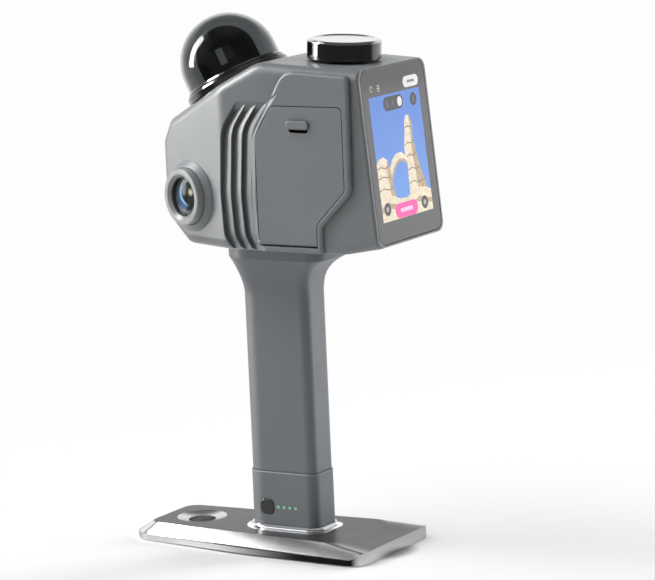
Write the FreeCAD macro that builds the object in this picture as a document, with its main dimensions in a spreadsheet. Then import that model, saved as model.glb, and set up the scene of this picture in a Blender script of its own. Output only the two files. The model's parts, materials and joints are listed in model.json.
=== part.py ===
import FreeCAD, Part
import math
import os
import Sketcher

# Handheld spatial scanner on a desk base.
# Frame: millimetres, +Z up, origin on the table under the axis of the grip.
# The sensor nose points to -Y, the screen to +Y, and the side cover opens to +X.

V = FreeCAD.Vector
ZERO = V(0, 0, 0)
X_AXIS = V(1, 0, 0)
Y_AXIS = V(0, 1, 0)
Z_AXIS = V(0, 0, 1)

os.makedirs("parts", exist_ok=True)
doc = FreeCAD.newDocument("handheld_scanner")
sheet = doc.addObject("Spreadsheet::Sheet", "Sizes")


# ---------------------------------------------------------------- sizes

class Size:
    """A length or angle with its value and the cell formula that gives it."""

    def __init__(self, value, formula):
        self.value = float(value)
        self.formula = formula

    def __add__(self, other):
        other = size(other)
        return Size(self.value + other.value, f"({self.formula} + {other.formula})")

    def __radd__(self, other):
        return size(other) + self

    def __sub__(self, other):
        other = size(other)
        return Size(self.value - other.value, f"({self.formula} - {other.formula})")

    def __rsub__(self, other):
        return size(other) - self

    def __mul__(self, other):
        other = size(other)
        return Size(self.value * other.value, f"({self.formula} * {other.formula})")

    def __rmul__(self, other):
        return size(other) * self

    def __truediv__(self, other):
        other = size(other)
        return Size(self.value / other.value, f"({self.formula} / {other.formula})")

    def __neg__(self):
        return Size(-self.value, f"(0 - {self.formula})")

    def __float__(self):
        return self.value


def size(item):
    """Turns a plain number into a Size; leaves a Size as it is."""
    if isinstance(item, Size):
        return item
    return Size(item, f"{item:g}" if item >= 0 else f"(0 - {-item:g})")


def tan(angle):
    return Size(math.tan(math.radians(angle.value)), f"tan({angle.formula})")


def sin(angle):
    return Size(math.sin(math.radians(angle.value)), f"sin({angle.formula})")


def cos(angle):
    return Size(math.cos(math.radians(angle.value)), f"cos({angle.formula})")


def root(item):
    return Size(math.sqrt(item.value), f"sqrt({item.formula})")


row = 0


def cell(alias, value, note):
    """Writes one driving size into the sheet and returns it as a Size."""
    global row
    row += 1
    sheet.set(f"A{row}", alias)
    sheet.set(f"B{row}", f"{value:g}")
    sheet.set(f"C{row}", note)
    sheet.setAlias(f"B{row}", alias)
    return Size(value, f"Sizes.{alias}")


# fits
wall = cell("wall", 2.4, "moulded wall of the head")
seat_gap = cell("seat_gap", 0.3, "gap between pieces that move apart")
run_gap = cell("run_gap", 0.06, "radial running clearance of shafts and pins")
skin_gap = cell("skin_gap", 0.15, "gap round glass and covers")

# main heights: everything in the head and the neck is taken from these two
head_floor_z = cell("head_floor_z", 187.6, "underside of the head above the table")
head_height = cell("head_height", 113.0, "height of the head at the end of the sensor slope")
head_top_z = head_floor_z + head_height

# base plate
foot_drop = cell("foot_drop", 0.8, "rubber pads below the plate")
foot_radius = cell("foot_radius", 6, "radius of a rubber pad")
foot_pocket = cell("foot_pocket", 1.2, "depth of the pad pockets")
plate_top = cell("plate_top", 10.6, "top of the plate above the table")
plate_back = cell("plate_back", 73.2, "grip axis to the back edge")
plate_front = cell("plate_front", 101.5, "grip axis to the front edge")
plate_half_back = cell("plate_half_back", 44.3, "half width near the back corners")
plate_half_mid = cell("plate_half_mid", 40.2, "half width a little ahead of the grip")
plate_half_front = cell("plate_half_front", 29.5, "half width near the front corners")
plate_mid_ahead = cell("plate_mid_ahead", 14, "middle width station ahead of the grip axis")
plate_back_radius = cell("plate_back_radius", 13, "back corner radius")
plate_front_radius = cell("plate_front_radius", 15, "front corner radius")
plate_waist = cell("plate_waist", 160, "radius of the waist of the long sides")
tail_grow = cell("tail_grow", 4, "half width the side bevel gains behind the plate")
side_wall = cell("side_wall", 4.3, "height of the fold above the table at the sides")
flat_back = cell("flat_back", 51.6, "grip axis to the back fold")
flat_front = cell("flat_front", 91.6, "grip axis to the front fold")
flat_half_back = cell("flat_half_back", 32.4, "half width of the flat at the back")
flat_half_front = cell("flat_half_front", 24.4, "half width of the flat at the front")
flat_back_radius = cell("flat_back_radius", 12, "corner radius of the flat at the back")
flat_front_radius = cell("flat_front_radius", 9, "corner radius of the flat at the front")
back_slope = cell("back_slope", 4.8, "angle of the back bevel")
front_bevel = cell("front_bevel", 10, "run of the front bevel")
hole_ahead = cell("hole_ahead", 67.6, "grip axis to the sight hole")
hole_radius = cell("hole_radius", 8.5, "bore of the sight hole")
rim_radius = cell("rim_radius", 15.6, "outer radius of the dished rim")
rim_depth = cell("rim_depth", 2.4, "depth of the dished rim")

# grip and battery pack
grip_half = cell("grip_half", 12.6, "half width of the grip")
grip_back = cell("grip_back", 23.3, "grip axis to its flat back")
grip_front = cell("grip_front", 13.2, "grip axis to the centre of the rounded front")
grip_corner = cell("grip_corner", 5.5, "back corner radius of the grip")
grip_wall = cell("grip_wall", 1.8, "wall of the grip")
block_grow = cell("block_grow", 0.7, "foot block outside the grip surface")
seam_height = cell("seam_height", 46.5, "seam between pack and grip above the table")
pack_wall = cell("pack_wall", 1.0, "wall of the battery pack core")
collar_rise = cell("collar_rise", 2.6, "height of the foot collar above the plate")
collar_flare = cell("collar_flare", 4.4, "flare of the foot collar")
collar_sink = cell("collar_sink", 1.2, "depth of the collar in the plate")
cell_radius = cell("cell_radius", 9.1, "radius of a battery cell")
cell_length = cell("cell_length", 65, "length of a battery cell")
cap_height = cell("cap_height", 3, "thickness of the pack cap")
neck_start = head_floor_z - cell("neck_drop", 31.6, "start of the flare below the head")
neck_rim = cell("neck_rim", 8.6, "height of the neck flange")
neck_back_flare = cell("neck_back_flare", 14.7, "flare of the back of the neck")
neck_flare = cell("neck_flare", 8.6, "flare of the neck flange")
sleeve_top = head_floor_z - cell("sleeve_drop", 15.6, "top of the hollow in the grip below the head")
wire_radius = cell("wire_radius", 7, "radius of the wire passage into the head")
cells_low = cell("cells_low", 34, "bottom of the battery cells above the table")
button_depth = cell("button_depth", 4, "depth of the battery button")
button_proud = cell("button_proud", 0.25, "battery button outside the foot block")
switch_depth = cell("switch_depth", 1.6, "depth of the switch behind the battery button")
switch_half = cell("switch_half", 2.6, "half width of the switch behind the battery button")
light_depth = cell("light_depth", 3, "depth of a light guide")
button_size = cell("button_size", 9.6, "width of the battery button")
button_round = cell("button_round", 3.2, "corner radius of the battery button")
button_travel = cell("button_travel", 0.8, "stroke of the battery button")
button_ahead = cell("button_ahead", 10.6, "grip axis to the battery button")
button_height = cell("button_height", 24.4, "height of the battery button")
light_radius = cell("light_radius", 0.9, "radius of a charge light")
light_pitch = cell("light_pitch", 4.1, "pitch of the charge lights")
light_ahead = cell("light_ahead", 2.9, "grip axis to the first charge light")
light_height = cell("light_height", 24.7, "height of the charge lights")

contact_length = cell("contact_length", 9, "length of a contact blade")
contact_width = cell("contact_width", 1.6, "width of a contact blade")
contact_height = cell("contact_height", 1.2, "height of a contact blade")
contact_block = cell("contact_block", 2.4, "height of the contact block in the grip")
neck_screw_radius = cell("neck_screw_radius", 1.5, "radius of a neck screw")
neck_screw_deep = cell("neck_screw_deep", 6, "depth of a neck screw in the flange")
floor_depth = cell("floor_depth", 2.6, "thickness of the head floor")

# clamp screw
screw_radius = cell("screw_radius", 3.1, "radius of the clamp screw")
screw_head = cell("screw_head", 8, "radius of the clamp screw head")
screw_head_height = cell("screw_head_height", 3.4, "height of the clamp screw head")
screw_length = cell("screw_length", 17, "length of the clamp screw shank")
insert_wall = cell("insert_wall", 1.6, "wall of the threaded bush")

# head: side profile
chin_back = cell("chin_back", 49, "grip axis to the back of the chin")
chin_mid = cell("chin_mid", 63.2, "grip axis to the break of the chin")
chin_mid_z = head_floor_z + cell("chin_rise", 11.4, "break of the chin above the underside")
nose_front = cell("nose_front", 69.4, "grip axis to the front of the nose")
nose_low_z = head_floor_z + cell("nose_low_rise", 23.9, "lower end of the upright nose above the underside")
nose_high_z = head_top_z - cell("nose_drop", 51.1, "upper end of the upright nose below the top")
brow_front = cell("brow_front", 62, "grip axis to the foot of the sensor slope")
brow_z = head_top_z - cell("slope_rise", 37.6, "height of the sensor slope")
slope_angle = cell("slope_angle", 27, "angle of the sensor slope")
top_pitch = cell("top_pitch", 3.4, "fall of the top towards the screen")
screen_tilt = cell("screen_tilt", 5.4, "tilt of the screen")
tail_start = cell("tail_start", 67, "grip axis to the rise of the underside")
tail_lift = cell("tail_lift", 4.4, "rise of the underside at the screen")
screen_y = cell("screen_y", 86.3, "grip axis to the middle of the glass")
screen_sink = cell("screen_sink", 1.5, "middle of the glass below the middle of the screen side")
screen_z = head_floor_z + (head_height + tail_lift) / 2 - screen_sink
profile_round = cell("profile_round", 9, "radius of the bends of chin and nose")
top_round = cell("top_round", 20, "radius of the bend from slope to top")

# head: widths
nose_half = cell("nose_half", 20, "half width of the nose front")
nose_taper = cell("nose_taper", 21, "taper of the nose flanks")
body_half = cell("body_half", 41.5, "half width of the head body")
rear_half = cell("rear_half", 40.3, "half width at the screen")
rear_taper = cell("rear_taper", 58, "grip axis to the start of the rear taper")
pad_rise = cell("pad_rise", 2.5, "height of the side pads")
pad_edge = cell("pad_edge", 1.8, "bevel round the side pads")
edge_radius = cell("edge_radius", 6.4, "radius of the long top edges")
screen_edge = cell("screen_edge", 1.6, "radius round the screen side")

# ribs
groove_pitch = cell("groove_pitch", 7.3, "pitch of the grooves")
groove_width = cell("groove_width", 0.8, "width of a groove at its floor")
groove_floor = cell("groove_floor", 38, "groove floor from the middle plane")
groove_ahead = cell("groove_ahead", 15, "grip axis to the first groove")
groove_turn = head_top_z - cell("groove_turn_drop", 39.6, "bend of the grooves below the top")
groove_sweep = cell("groove_sweep", 10, "run of the lower groove ends towards the screen")
groove_bow = cell("groove_bow", 60, "radius of the bow of the grooves at the nose")
groove_bend = cell("groove_bend", 22, "radius of the bend where the grooves lean back")
groove_lean = cell("groove_lean", 36, "lean of the upper grooves")
groove_high = head_top_z - cell("groove_drop", 16.6, "upper end of the grooves below the top")
groove_fade = cell("groove_fade", 13, "run of the upper ends to the surface")

# screen
glass_half = cell("glass_half", 37.4, "half width of the glass")
screen_border = cell("screen_border", 5.6, "height of the shell above and below the glass together")
glass_half_high = (head_height - tail_lift - screen_border) / 2
glass_corner = cell("glass_corner", 6.6, "corner radius of the glass")
glass_depth = cell("glass_depth", 1.6, "thickness of the glass")
panel_depth = cell("panel_depth", 3, "thickness of the display panel")
seal_width = cell("seal_width", 2.6, "width of the screen seal")
seal_depth = cell("seal_depth", 0.6, "thickness of the screen seal")
panel_gap = cell("panel_gap", 0.2, "gap between glass and panel")

# distance sensor
lidar_up = cell("lidar_up", 42.4, "sensor axis up the slope from its foot")
seat_radius = cell("seat_radius", 33.3, "radius of the sensor flange")
seat_height = cell("seat_height", 4.6, "height of the sensor flange over the slope")
lip_rise = cell("lip_rise", 2.2, "lip round the dome above the sensor flange")
dome_radius = cell("dome_radius", 30.1, "radius of the dome")
dome_centre = cell("dome_centre", 15, "height of the dome centre over the slope")
dome_wall = cell("dome_wall", 1.6, "wall of the dome")
rotor_radius = cell("rotor_radius", 18.6, "radius of the spinning head")
motor_radius = cell("motor_radius", 15, "radius of the sensor motor")
window_turn = cell("window_turn", 22, "direction of the mirror window")
window_half = cell("window_half", 2.4, "half width of the mirror window")
window_low = cell("window_low", 12.4, "bottom of the mirror window over the slope")
window_length = cell("window_length", 10.3, "height of the mirror window")
window_depth = cell("window_depth", 2.6, "depth of the mirror window")
mirror_depth = cell("mirror_depth", 1.4, "thickness of the mirror")

# cameras
cam_height = head_floor_z + cell("cam_lift", 30.2, "side cameras above the underside")
cam_back = cell("cam_back", 27.3, "side camera from the front edge of the nose flank")
cam_radius = cell("cam_radius", 17.2, "radius of the camera ring")
cam_lens = cell("cam_lens", 11.9, "radius of the camera glass")
cam_rise = cell("cam_rise", 4.8, "height of the camera ring")
boss_radius = cell("boss_radius", 21.5, "radius of the camera boss")
boss_rise = cell("boss_rise", 3.2, "height of the camera boss")

# knob
knob_y = cell("knob_y", 49.6, "grip axis to the knob")
knob_radius = cell("knob_radius", 22.4, "radius of the knob")
knob_height = cell("knob_height", 11.8, "height of the knob")
knob_gap = cell("knob_gap", 1.3, "gap below the knob")
knob_travel = cell("knob_travel", 0.8, "stroke of the knob")
knob_cap_depth = cell("knob_cap_depth", 1.6, "thickness of the knob cap")
knob_dish = cell("knob_dish", 0.6, "depth of the dish in the knob cap")
shaft_radius = cell("shaft_radius", 3, "radius of the knob shaft")

# side cover
hatch_depth = cell("hatch_depth", 2.2, "thickness of the side cover")
hatch_low = head_floor_z + cell("hatch_lift", 4.8, "lower edge of the side cover above the underside")
hatch_high = head_top_z - cell("hatch_drop", 25.2, "upper edge of the side cover below the top")
hatch_front = cell("hatch_front", 12.2, "grip axis to the front edge of the side cover")
hatch_back = cell("hatch_back", 72, "grip axis to the back edge of the side cover")
hatch_step = cell("hatch_step", 52, "grip axis to the lower back edge of the side cover")
hatch_gap = cell("hatch_gap", 0.5, "gap round the side cover")
hatch_bevel_y = cell("hatch_bevel_y", 11.5, "length of the cut upper front corner")
hatch_bevel_z = cell("hatch_bevel_z", 19, "height of the cut upper front corner")
step_low_z = hatch_low + cell("step_low_rise", 13.6, "lower end of the stepped corner above the lower edge")
step_high_z = hatch_low + cell("step_high_rise", 34.1, "upper end of the stepped corner above the lower edge")
catch_length = cell("catch_length", 15.4, "length of the finger catch")
catch_height = cell("catch_height", 5.2, "height of the finger catch")
catch_rise = cell("catch_rise", 1.8, "height of the finger catch over the cover")
catch_y = cell("catch_y", 42.4, "grip axis to the finger catch")
catch_z = hatch_high - cell("catch_drop", 10.6, "finger catch below the upper edge of the side cover")
catch_travel = cell("catch_travel", 2.6, "stroke of the finger catch")
catch_stem = cell("catch_stem", 3.6, "height of the stem of the finger catch")
catch_inset = cell("catch_inset", 1.4, "stem inside the ends of the finger catch")
pin_radius = cell("pin_radius", 1.0, "radius of the hinge pin")
barrel_radius = cell("barrel_radius", 1.9, "radius of the hinge barrel")
hatch_corner = cell("hatch_corner", 3, "corner radius of the side cover")
step_bend = cell("step_bend", 5, "bend radius of the stepped edge")
pad_margin = cell("pad_margin", 4.2, "side pad outside the side cover")
pad_low = cell("pad_low", 1, "side pad above the underside")
pad_drop = cell("pad_drop", 3, "side pad below the top")
bay_inset = cell("bay_inset", 4.6, "ledge round the bay")
cover_screw_radius = cell("cover_screw_radius", 1.6, "radius of a cover screw")
bay_depth = cell("bay_depth", 14, "depth of the bay behind the side cover")
bay_wall = cell("bay_wall", 1.5, "wall of the bay tray")
port_height = cell("port_height", 44, "height of the socket block")
port_lift = cell("port_lift", 6, "socket block above the floor of the tray")
socket_half = cell("socket_half", 4.6, "half length of the flat socket")
socket_half_high = cell("socket_half_high", 1.7, "half height of the flat socket")
jack_radius = cell("jack_radius", 3.2, "radius of the round socket")
card_travel = cell("card_travel", 4, "stroke of the memory card")
card_length = cell("card_length", 15, "width of the memory card")
card_height = cell("card_height", 2, "thickness of the memory card")
floor_half = cell("floor_half", 25, "half width of the head floor")
floor_front = cell("floor_front", 38, "grip axis to the front of the head floor")
floor_back = cell("floor_back", 60, "grip axis to the back of the head floor")
board_half = cell("board_half", 30, "half width of the mainboard")
board_half_high = cell("board_half_high", 36, "half height of the mainboard")
board_depth = cell("board_depth", 1.6, "thickness of the mainboard")
board_drop = cell("board_drop", 4, "spacers between panel and mainboard")
sink_half = cell("sink_half", 20, "half size of the heat sink")
sink_height = cell("sink_height", 9, "height of the heat sink")
motor_depth = cell("motor_depth", 14, "depth of the sensor motor")
encoder_radius = cell("encoder_radius", 8, "radius of the knob encoder")
encoder_depth = cell("encoder_depth", 9, "depth of the knob encoder")
collar_radius = cell("collar_radius", 7, "radius of the knob bush")

doc.recompute()


# ---------------------------------------------------------------- helpers

def plane(body, role):
    for feature in body.Origin.OriginFeatures:
        if feature.Role == role:
            return feature
    raise RuntimeError(f"no plane {role}")


def new_body(name):
    return doc.addObject("PartDesign::Body", name)


def new_sketch(body, name, role, lift=None):
    """A sketch on an origin plane of the body, lifted along the plane's normal."""
    sketch = body.newObject("Sketcher::SketchObject", name)
    sketch.AttachmentSupport = [(plane(body, role), "")]
    sketch.MapMode = "FlatFace"
    if lift is not None:
        lift = size(lift)
        sketch.AttachmentOffset = FreeCAD.Placement(V(0, 0, lift.value), FreeCAD.Rotation())
        sketch.setExpression("AttachmentOffset.Base.z", lift.formula)
    return sketch


def bind(sketch, index, item):
    if isinstance(item, Size):
        sketch.setExpression(f"Constraints[{index}]", item.formula)


def fix_point(sketch, geometry, end, u, v):
    """Holds a point of the sketch at (u, v) from the sketch origin."""
    for kind, item in (("DistanceX", u), ("DistanceY", v)):
        item = size(item)
        index = sketch.addConstraint(Sketcher.Constraint(kind, -1, 1, geometry, end, item.value))
        bind(sketch, index, item)


def outline(sketch, points):
    """A closed outline of straight lines through bound points."""
    first = sketch.GeometryCount
    count = len(points)
    for i in range(count):
        a = points[i]
        b = points[(i + 1) % count]
        start = V(float(a[0]), float(a[1]), 0)
        end = V(float(b[0]), float(b[1]), 0)
        sketch.addGeometry(Part.LineSegment(start, end))
    for i in range(count):
        sketch.addConstraint(Sketcher.Constraint("Coincident", first + i, 2, first + (i + 1) % count, 1))
    for i, (u, v) in enumerate(points):
        fix_point(sketch, first + i, 1, u, v)
    return sketch


def rounded(sketch, corners):
    """A closed outline through bound corners (u, v, radius); a radius of 0 leaves the corner sharp."""
    count = len(corners)
    spots = [V(float(c[0]), float(c[1]), 0) for c in corners]
    ends = []
    arcs = []
    for i, (u, v, radius) in enumerate(corners):
        here = spots[i]
        before = (spots[i - 1] - here).normalize()
        after = (spots[(i + 1) % count] - here).normalize()
        reach = float(radius)
        if reach <= 0:
            ends.append((here, here))
            arcs.append(None)
            continue
        half = before.getAngle(after) / 2
        run = reach / math.tan(half)
        first = here + before * run
        last = here + after * run
        centre = here + (before + after).normalize() * (reach / math.sin(half))
        left = before.cross(after).z < 0
        start, stop = (first, last) if left else (last, first)
        low = math.atan2(start.y - centre.y, start.x - centre.x)
        high = math.atan2(stop.y - centre.y, stop.x - centre.x)
        if high < low:
            high += 2 * math.pi
        ends.append((first, last))
        arcs.append((centre, reach, low, high, left))
    base = sketch.GeometryCount
    for i in range(count):
        sketch.addGeometry(Part.LineSegment(ends[i][1], ends[(i + 1) % count][0]))
    for i, (u, v, radius) in enumerate(corners):
        spot = sketch.addGeometry(Part.Point(spots[i]), True)
        fix_point(sketch, spot, 1, u, v)
        leaving = base + i
        coming = base + (i - 1) % count
        if arcs[i] is None:
            sketch.addConstraint(Sketcher.Constraint("Coincident", coming, 2, spot, 1))
            sketch.addConstraint(Sketcher.Constraint("Coincident", leaving, 1, spot, 1))
            continue
        centre, reach, low, high, left = arcs[i]
        arc = sketch.addGeometry(Part.ArcOfCircle(Part.Circle(centre, Z_AXIS, reach), low, high))
        first, last = (1, 2) if left else (2, 1)
        sketch.addConstraint(Sketcher.Constraint("Tangent", coming, 2, arc, first))
        sketch.addConstraint(Sketcher.Constraint("Tangent", leaving, 1, arc, last))
        sketch.addConstraint(Sketcher.Constraint("PointOnObject", spot, 1, coming))
        sketch.addConstraint(Sketcher.Constraint("PointOnObject", spot, 1, leaving))
        bound = sketch.addConstraint(Sketcher.Constraint("Radius", arc, reach))
        bind(sketch, bound, size(radius))
    return sketch


def ring(sketch, radius, u=0, v=0):
    """A circle of bound radius and centre."""
    index = sketch.GeometryCount
    circle = Part.Circle(V(float(u), float(v), 0), Z_AXIS, float(radius))
    sketch.addGeometry(circle)
    fix_point(sketch, index, 3, u, v)
    radius = size(radius)
    bind(sketch, sketch.addConstraint(Sketcher.Constraint("Radius", index, radius.value)), radius)
    return sketch


def grip_outline(sketch, grow=0, back_grow=None):
    """The outline of the grip: flat sides and back, round front, moved out by grow; the back may grow less."""
    grow = size(grow)
    half = grip_half + grow
    back = grip_back + (grow if back_grow is None else size(back_grow))
    corner = grip_corner + (grow if back_grow is None else grow * 0.45)
    centre = -grip_front
    first = sketch.GeometryCount
    cx = half - corner
    cy = back - corner
    flat = [
        (V(float(half), float(centre), 0), V(float(half), float(cy), 0)),
        (V(float(cx), float(back), 0), V(-float(cx), float(back), 0)),
        (V(-float(half), float(cy), 0), V(-float(half), float(centre), 0)),
    ]
    arcs = [
        (V(float(cx), float(cy), 0), corner, 0, math.pi / 2, cx, cy),
        (V(-float(cx), float(cy), 0), corner, math.pi / 2, math.pi, -cx, cy),
        (V(0, float(centre), 0), half, math.pi, 2 * math.pi, size(0), centre),
    ]
    for (start, end), (middle, radius, low, high, u, v) in zip(flat, arcs):
        sketch.addGeometry(Part.LineSegment(start, end))
        sketch.addGeometry(Part.ArcOfCircle(Part.Circle(middle, Z_AXIS, float(radius)), low, high))
    for i in range(6):
        sketch.addConstraint(Sketcher.Constraint("Tangent", first + i, 2, first + (i + 1) % 6, 1))
    for i, (middle, radius, low, high, u, v) in enumerate(arcs):
        geometry = first + 2 * i + 1
        fix_point(sketch, geometry, 3, u, v)
        bind(sketch, sketch.addConstraint(Sketcher.Constraint("Radius", geometry, radius.value)), radius)
    return sketch


def pad(body, name, sketch, length, both=False, back=False):
    feature = body.newObject("PartDesign::Pad", name)
    feature.Profile = sketch
    length = size(length)
    feature.Length = length.value
    feature.setExpression("Length", length.formula)
    if both:
        feature.SideType = "Symmetric"
    feature.Reversed = back
    return feature


def pocket(body, name, sketch, length, both=False, back=False, through=False):
    """Cuts the outline; the cut must take material away."""
    doc.recompute()
    before = body.Shape.Volume
    feature = body.newObject("PartDesign::Pocket", name)
    feature.Profile = sketch
    if both:
        feature.SideType = "Symmetric"
    feature.Reversed = back
    if through:
        feature.Type = "ThroughAll"
    else:
        length = size(length)
        feature.Length = length.value
        feature.setExpression("Length", length.formula)
    doc.recompute()
    if not feature.Shape.Volume < before - 1e-3:
        raise RuntimeError(f"{name} takes nothing away")
    return feature


def edges_of(shape, test):
    """Names of the edges whose test holds."""
    return [f"Edge{i}" for i, edge in enumerate(shape.Edges, 1) if test(edge)]


def fillet(body, name, base, radius, test, chamfer=False):
    """Rounds or bevels the edges of base that pass the test."""
    doc.recompute()
    names = edges_of(base.Shape, test)
    if not names:
        raise RuntimeError(f"{name} finds no edge")
    kind = "PartDesign::Chamfer" if chamfer else "PartDesign::Fillet"
    feature = body.newObject(kind, name)
    feature.Base = (base, names)
    key = "Size" if chamfer else "Radius"
    radius = size(radius)
    setattr(feature, key, radius.value)
    feature.setExpression(key, radius.formula)
    return feature


def along(edge, axis):
    """True for a straight edge parallel to the axis."""
    if not isinstance(edge.Curve, Part.Line):
        return False
    run = edge.Vertexes[-1].Point.sub(edge.Vertexes[0].Point)
    return run.cross(axis).Length < 1e-4 * max(run.Length, 1e-9)


def rises(edge, height):
    """True for an edge that climbs through most of the height."""
    return abs(edge.Vertexes[0].Z - edge.Vertexes[-1].Z) > float(height) / 2


def middle(edge):
    return edge.valueAt((edge.FirstParameter + edge.LastParameter) / 2)


def place(item, x=0, y=0, z=0, axis=None, angle=None):
    """Places an object; bound lengths stay bound to the sheet."""
    turn = FreeCAD.Rotation()
    if axis is not None:
        turn = FreeCAD.Rotation(axis, float(angle))
    item.Placement = FreeCAD.Placement(V(float(x), float(y), float(z)), turn)
    for key, value in (("x", x), ("y", y), ("z", z)):
        if isinstance(value, Size):
            item.setExpression(f"Placement.Base.{key}", value.formula)
    if isinstance(angle, Size):
        item.setExpression("Placement.Rotation.Angle", angle.formula)
    return item


def cylinder(name, radius, height, x=0, y=0, z=0, axis=None, angle=None):
    item = doc.addObject("Part::Cylinder", name)
    for key, value in (("Radius", size(radius)), ("Height", size(height))):
        setattr(item, key, value.value)
        item.setExpression(key, value.formula)
    return place(item, x, y, z, axis, angle)


def block(name, length, width, height, x=0, y=0, z=0, axis=None, angle=None):
    """A box from its low corner (x, y, z)."""
    item = doc.addObject("Part::Box", name)
    for key, value in (("Length", size(length)), ("Width", size(width)), ("Height", size(height))):
        setattr(item, key, value.value)
        item.setExpression(key, value.formula)
    return place(item, x, y, z, axis, angle)


def cut(name, base, tool):
    item = doc.addObject("Part::Cut", name)
    item.Base = base
    item.Tool = tool
    return item


def fuse(name, pieces):
    item = doc.addObject("Part::MultiFuse", name)
    item.Shapes = pieces
    return item


def common(name, pieces):
    item = doc.addObject("Part::MultiCommon", name)
    item.Shapes = pieces
    return item


def mirror(name, source, normal=X_AXIS):
    item = doc.addObject("Part::Mirroring", name)
    item.Source = source
    item.Normal = normal
    item.Base = ZERO
    return item


def turned(name, points, u_plane="XZ_Plane"):
    """A body of revolution about Z from (radius, height) points."""
    body = new_body(name)
    sketch = new_sketch(body, name + "_profile", u_plane)
    outline(sketch, points)
    feature = body.newObject("PartDesign::Revolution", name + "_turn")
    feature.Profile = sketch
    feature.ReferenceAxis = (sketch, ["V_Axis"])
    feature.Angle = 360
    return body


nodes = []


def node(item, label):
    """Marks an object as a finished piece with its own name."""
    item.Label = label
    nodes.append(item)
    return item


# ---------------------------------------------------------------- base plate

def build_base_plate():
    low = foot_drop
    body = new_body("plate_slab")
    sketch = new_sketch(body, "plate_outline", "XY_Plane", low)
    mid = -plate_mid_ahead
    nose = -plate_front
    rounded(sketch, [
        (plate_half_back, plate_back, plate_back_radius), (-plate_half_back, plate_back, plate_back_radius),
        (-plate_half_mid, mid, plate_waist), (-plate_half_front, nose, plate_front_radius),
        (plate_half_front, nose, plate_front_radius), (plate_half_mid, mid, plate_waist),
    ])
    pad(body, "plate_pad", sketch, plate_top - low)

    # the bevelled hood that trims the slab: long shallow back bevel, steeper sides
    rise = plate_top - side_wall
    reach = rise / tan(back_slope)
    hood = new_body("plate_hood")
    upper = new_sketch(hood, "hood_upper", "XY_Plane", plate_top)
    lower = new_sketch(hood, "hood_lower", "XY_Plane", side_wall)
    tail = flat_back + reach
    tail_half = plate_half_back + tail_grow
    lead = -(flat_front + front_bevel)
    lead_half = plate_half_front
    rounded(upper, [
        (flat_half_back, flat_back, flat_back_radius), (-flat_half_back, flat_back, flat_back_radius),
        (-flat_half_front, -flat_front, flat_front_radius), (flat_half_front, -flat_front, flat_front_radius),
    ])
    rounded(lower, [
        (tail_half, tail, flat_back_radius * 2), (-tail_half, tail, flat_back_radius * 2),
        (-lead_half, lead, plate_front_radius), (lead_half, lead, plate_front_radius),
    ])
    loft = hood.newObject("PartDesign::AdditiveLoft", "hood_loft")
    loft.Profile = lower
    loft.Sections = [upper]
    loft.Ruled = True
    skirt = new_body("plate_skirt")
    skirt_sketch = new_sketch(skirt, "skirt_outline", "XY_Plane", low)
    outline(skirt_sketch, [
        (tail_half, tail), (-tail_half, tail), (-tail_half, lead - front_bevel), (tail_half, lead - front_bevel),
    ])
    pad(skirt, "skirt_pad", skirt_sketch, side_wall - low)
    envelope = fuse("plate_envelope", [hood, skirt])
    blank = common("plate_blank", [body, envelope])

    # sight hole with a dished rim
    bore = cylinder("sight_bore", hole_radius, plate_top * 2, 0, -hole_ahead, -plate_top / 2)
    dish_ball = (rim_radius * rim_radius + rim_depth * rim_depth) / (rim_depth * 2)
    dish = doc.addObject("Part::Sphere", "sight_dish")
    dish.Radius = dish_ball.value
    dish.setExpression("Radius", dish_ball.formula)
    place(dish, 0, -hole_ahead, plate_top - rim_depth + dish_ball)
    # seat of the foot collar, screw recess and pad pockets
    seat = new_body("collar_seat")
    seat_sketch = grip_outline(new_sketch(seat, "collar_seat_outline", "XY_Plane", plate_top - collar_sink),
                               collar_flare * 0.5 + skin_gap)
    pad(seat, "collar_seat_pad", seat_sketch, collar_sink * 2)
    shank = cylinder("plate_screw_hole", screw_radius + seat_gap, plate_top * 2, 0, 0, -plate_top / 2)
    recess = cylinder("plate_screw_recess", screw_head + seat_gap, screw_head_height + seat_gap + low,
                      0, 0, 0)
    cuts = [bore, dish, seat, shank, recess]
    for i, (u, v) in enumerate(foot_places()):
        cuts.append(cylinder(f"foot_pocket_{i}", foot_radius + skin_gap, foot_pocket + low, u, v, 0))
    plate = cut("base_plate_solid", blank, fuse("plate_cuts", cuts))
    return node(plate, "base_plate")


def foot_places():
    inset = foot_radius + 6
    front_half = plate_half_front - inset + 4
    back_half = plate_half_back - inset
    return [
        (back_half, plate_back - inset), (-back_half, plate_back - inset),
        (front_half, -(plate_front - inset)), (-front_half, -(plate_front - inset)),
    ]


def build_base_feet():
    feet = []
    for i, (u, v) in enumerate(foot_places()):
        feet.append(cylinder(f"foot_{i}", foot_radius, foot_pocket + foot_drop, u, v, 0))
    return node(fuse("base_feet_set", feet), "base_feet")


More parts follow.
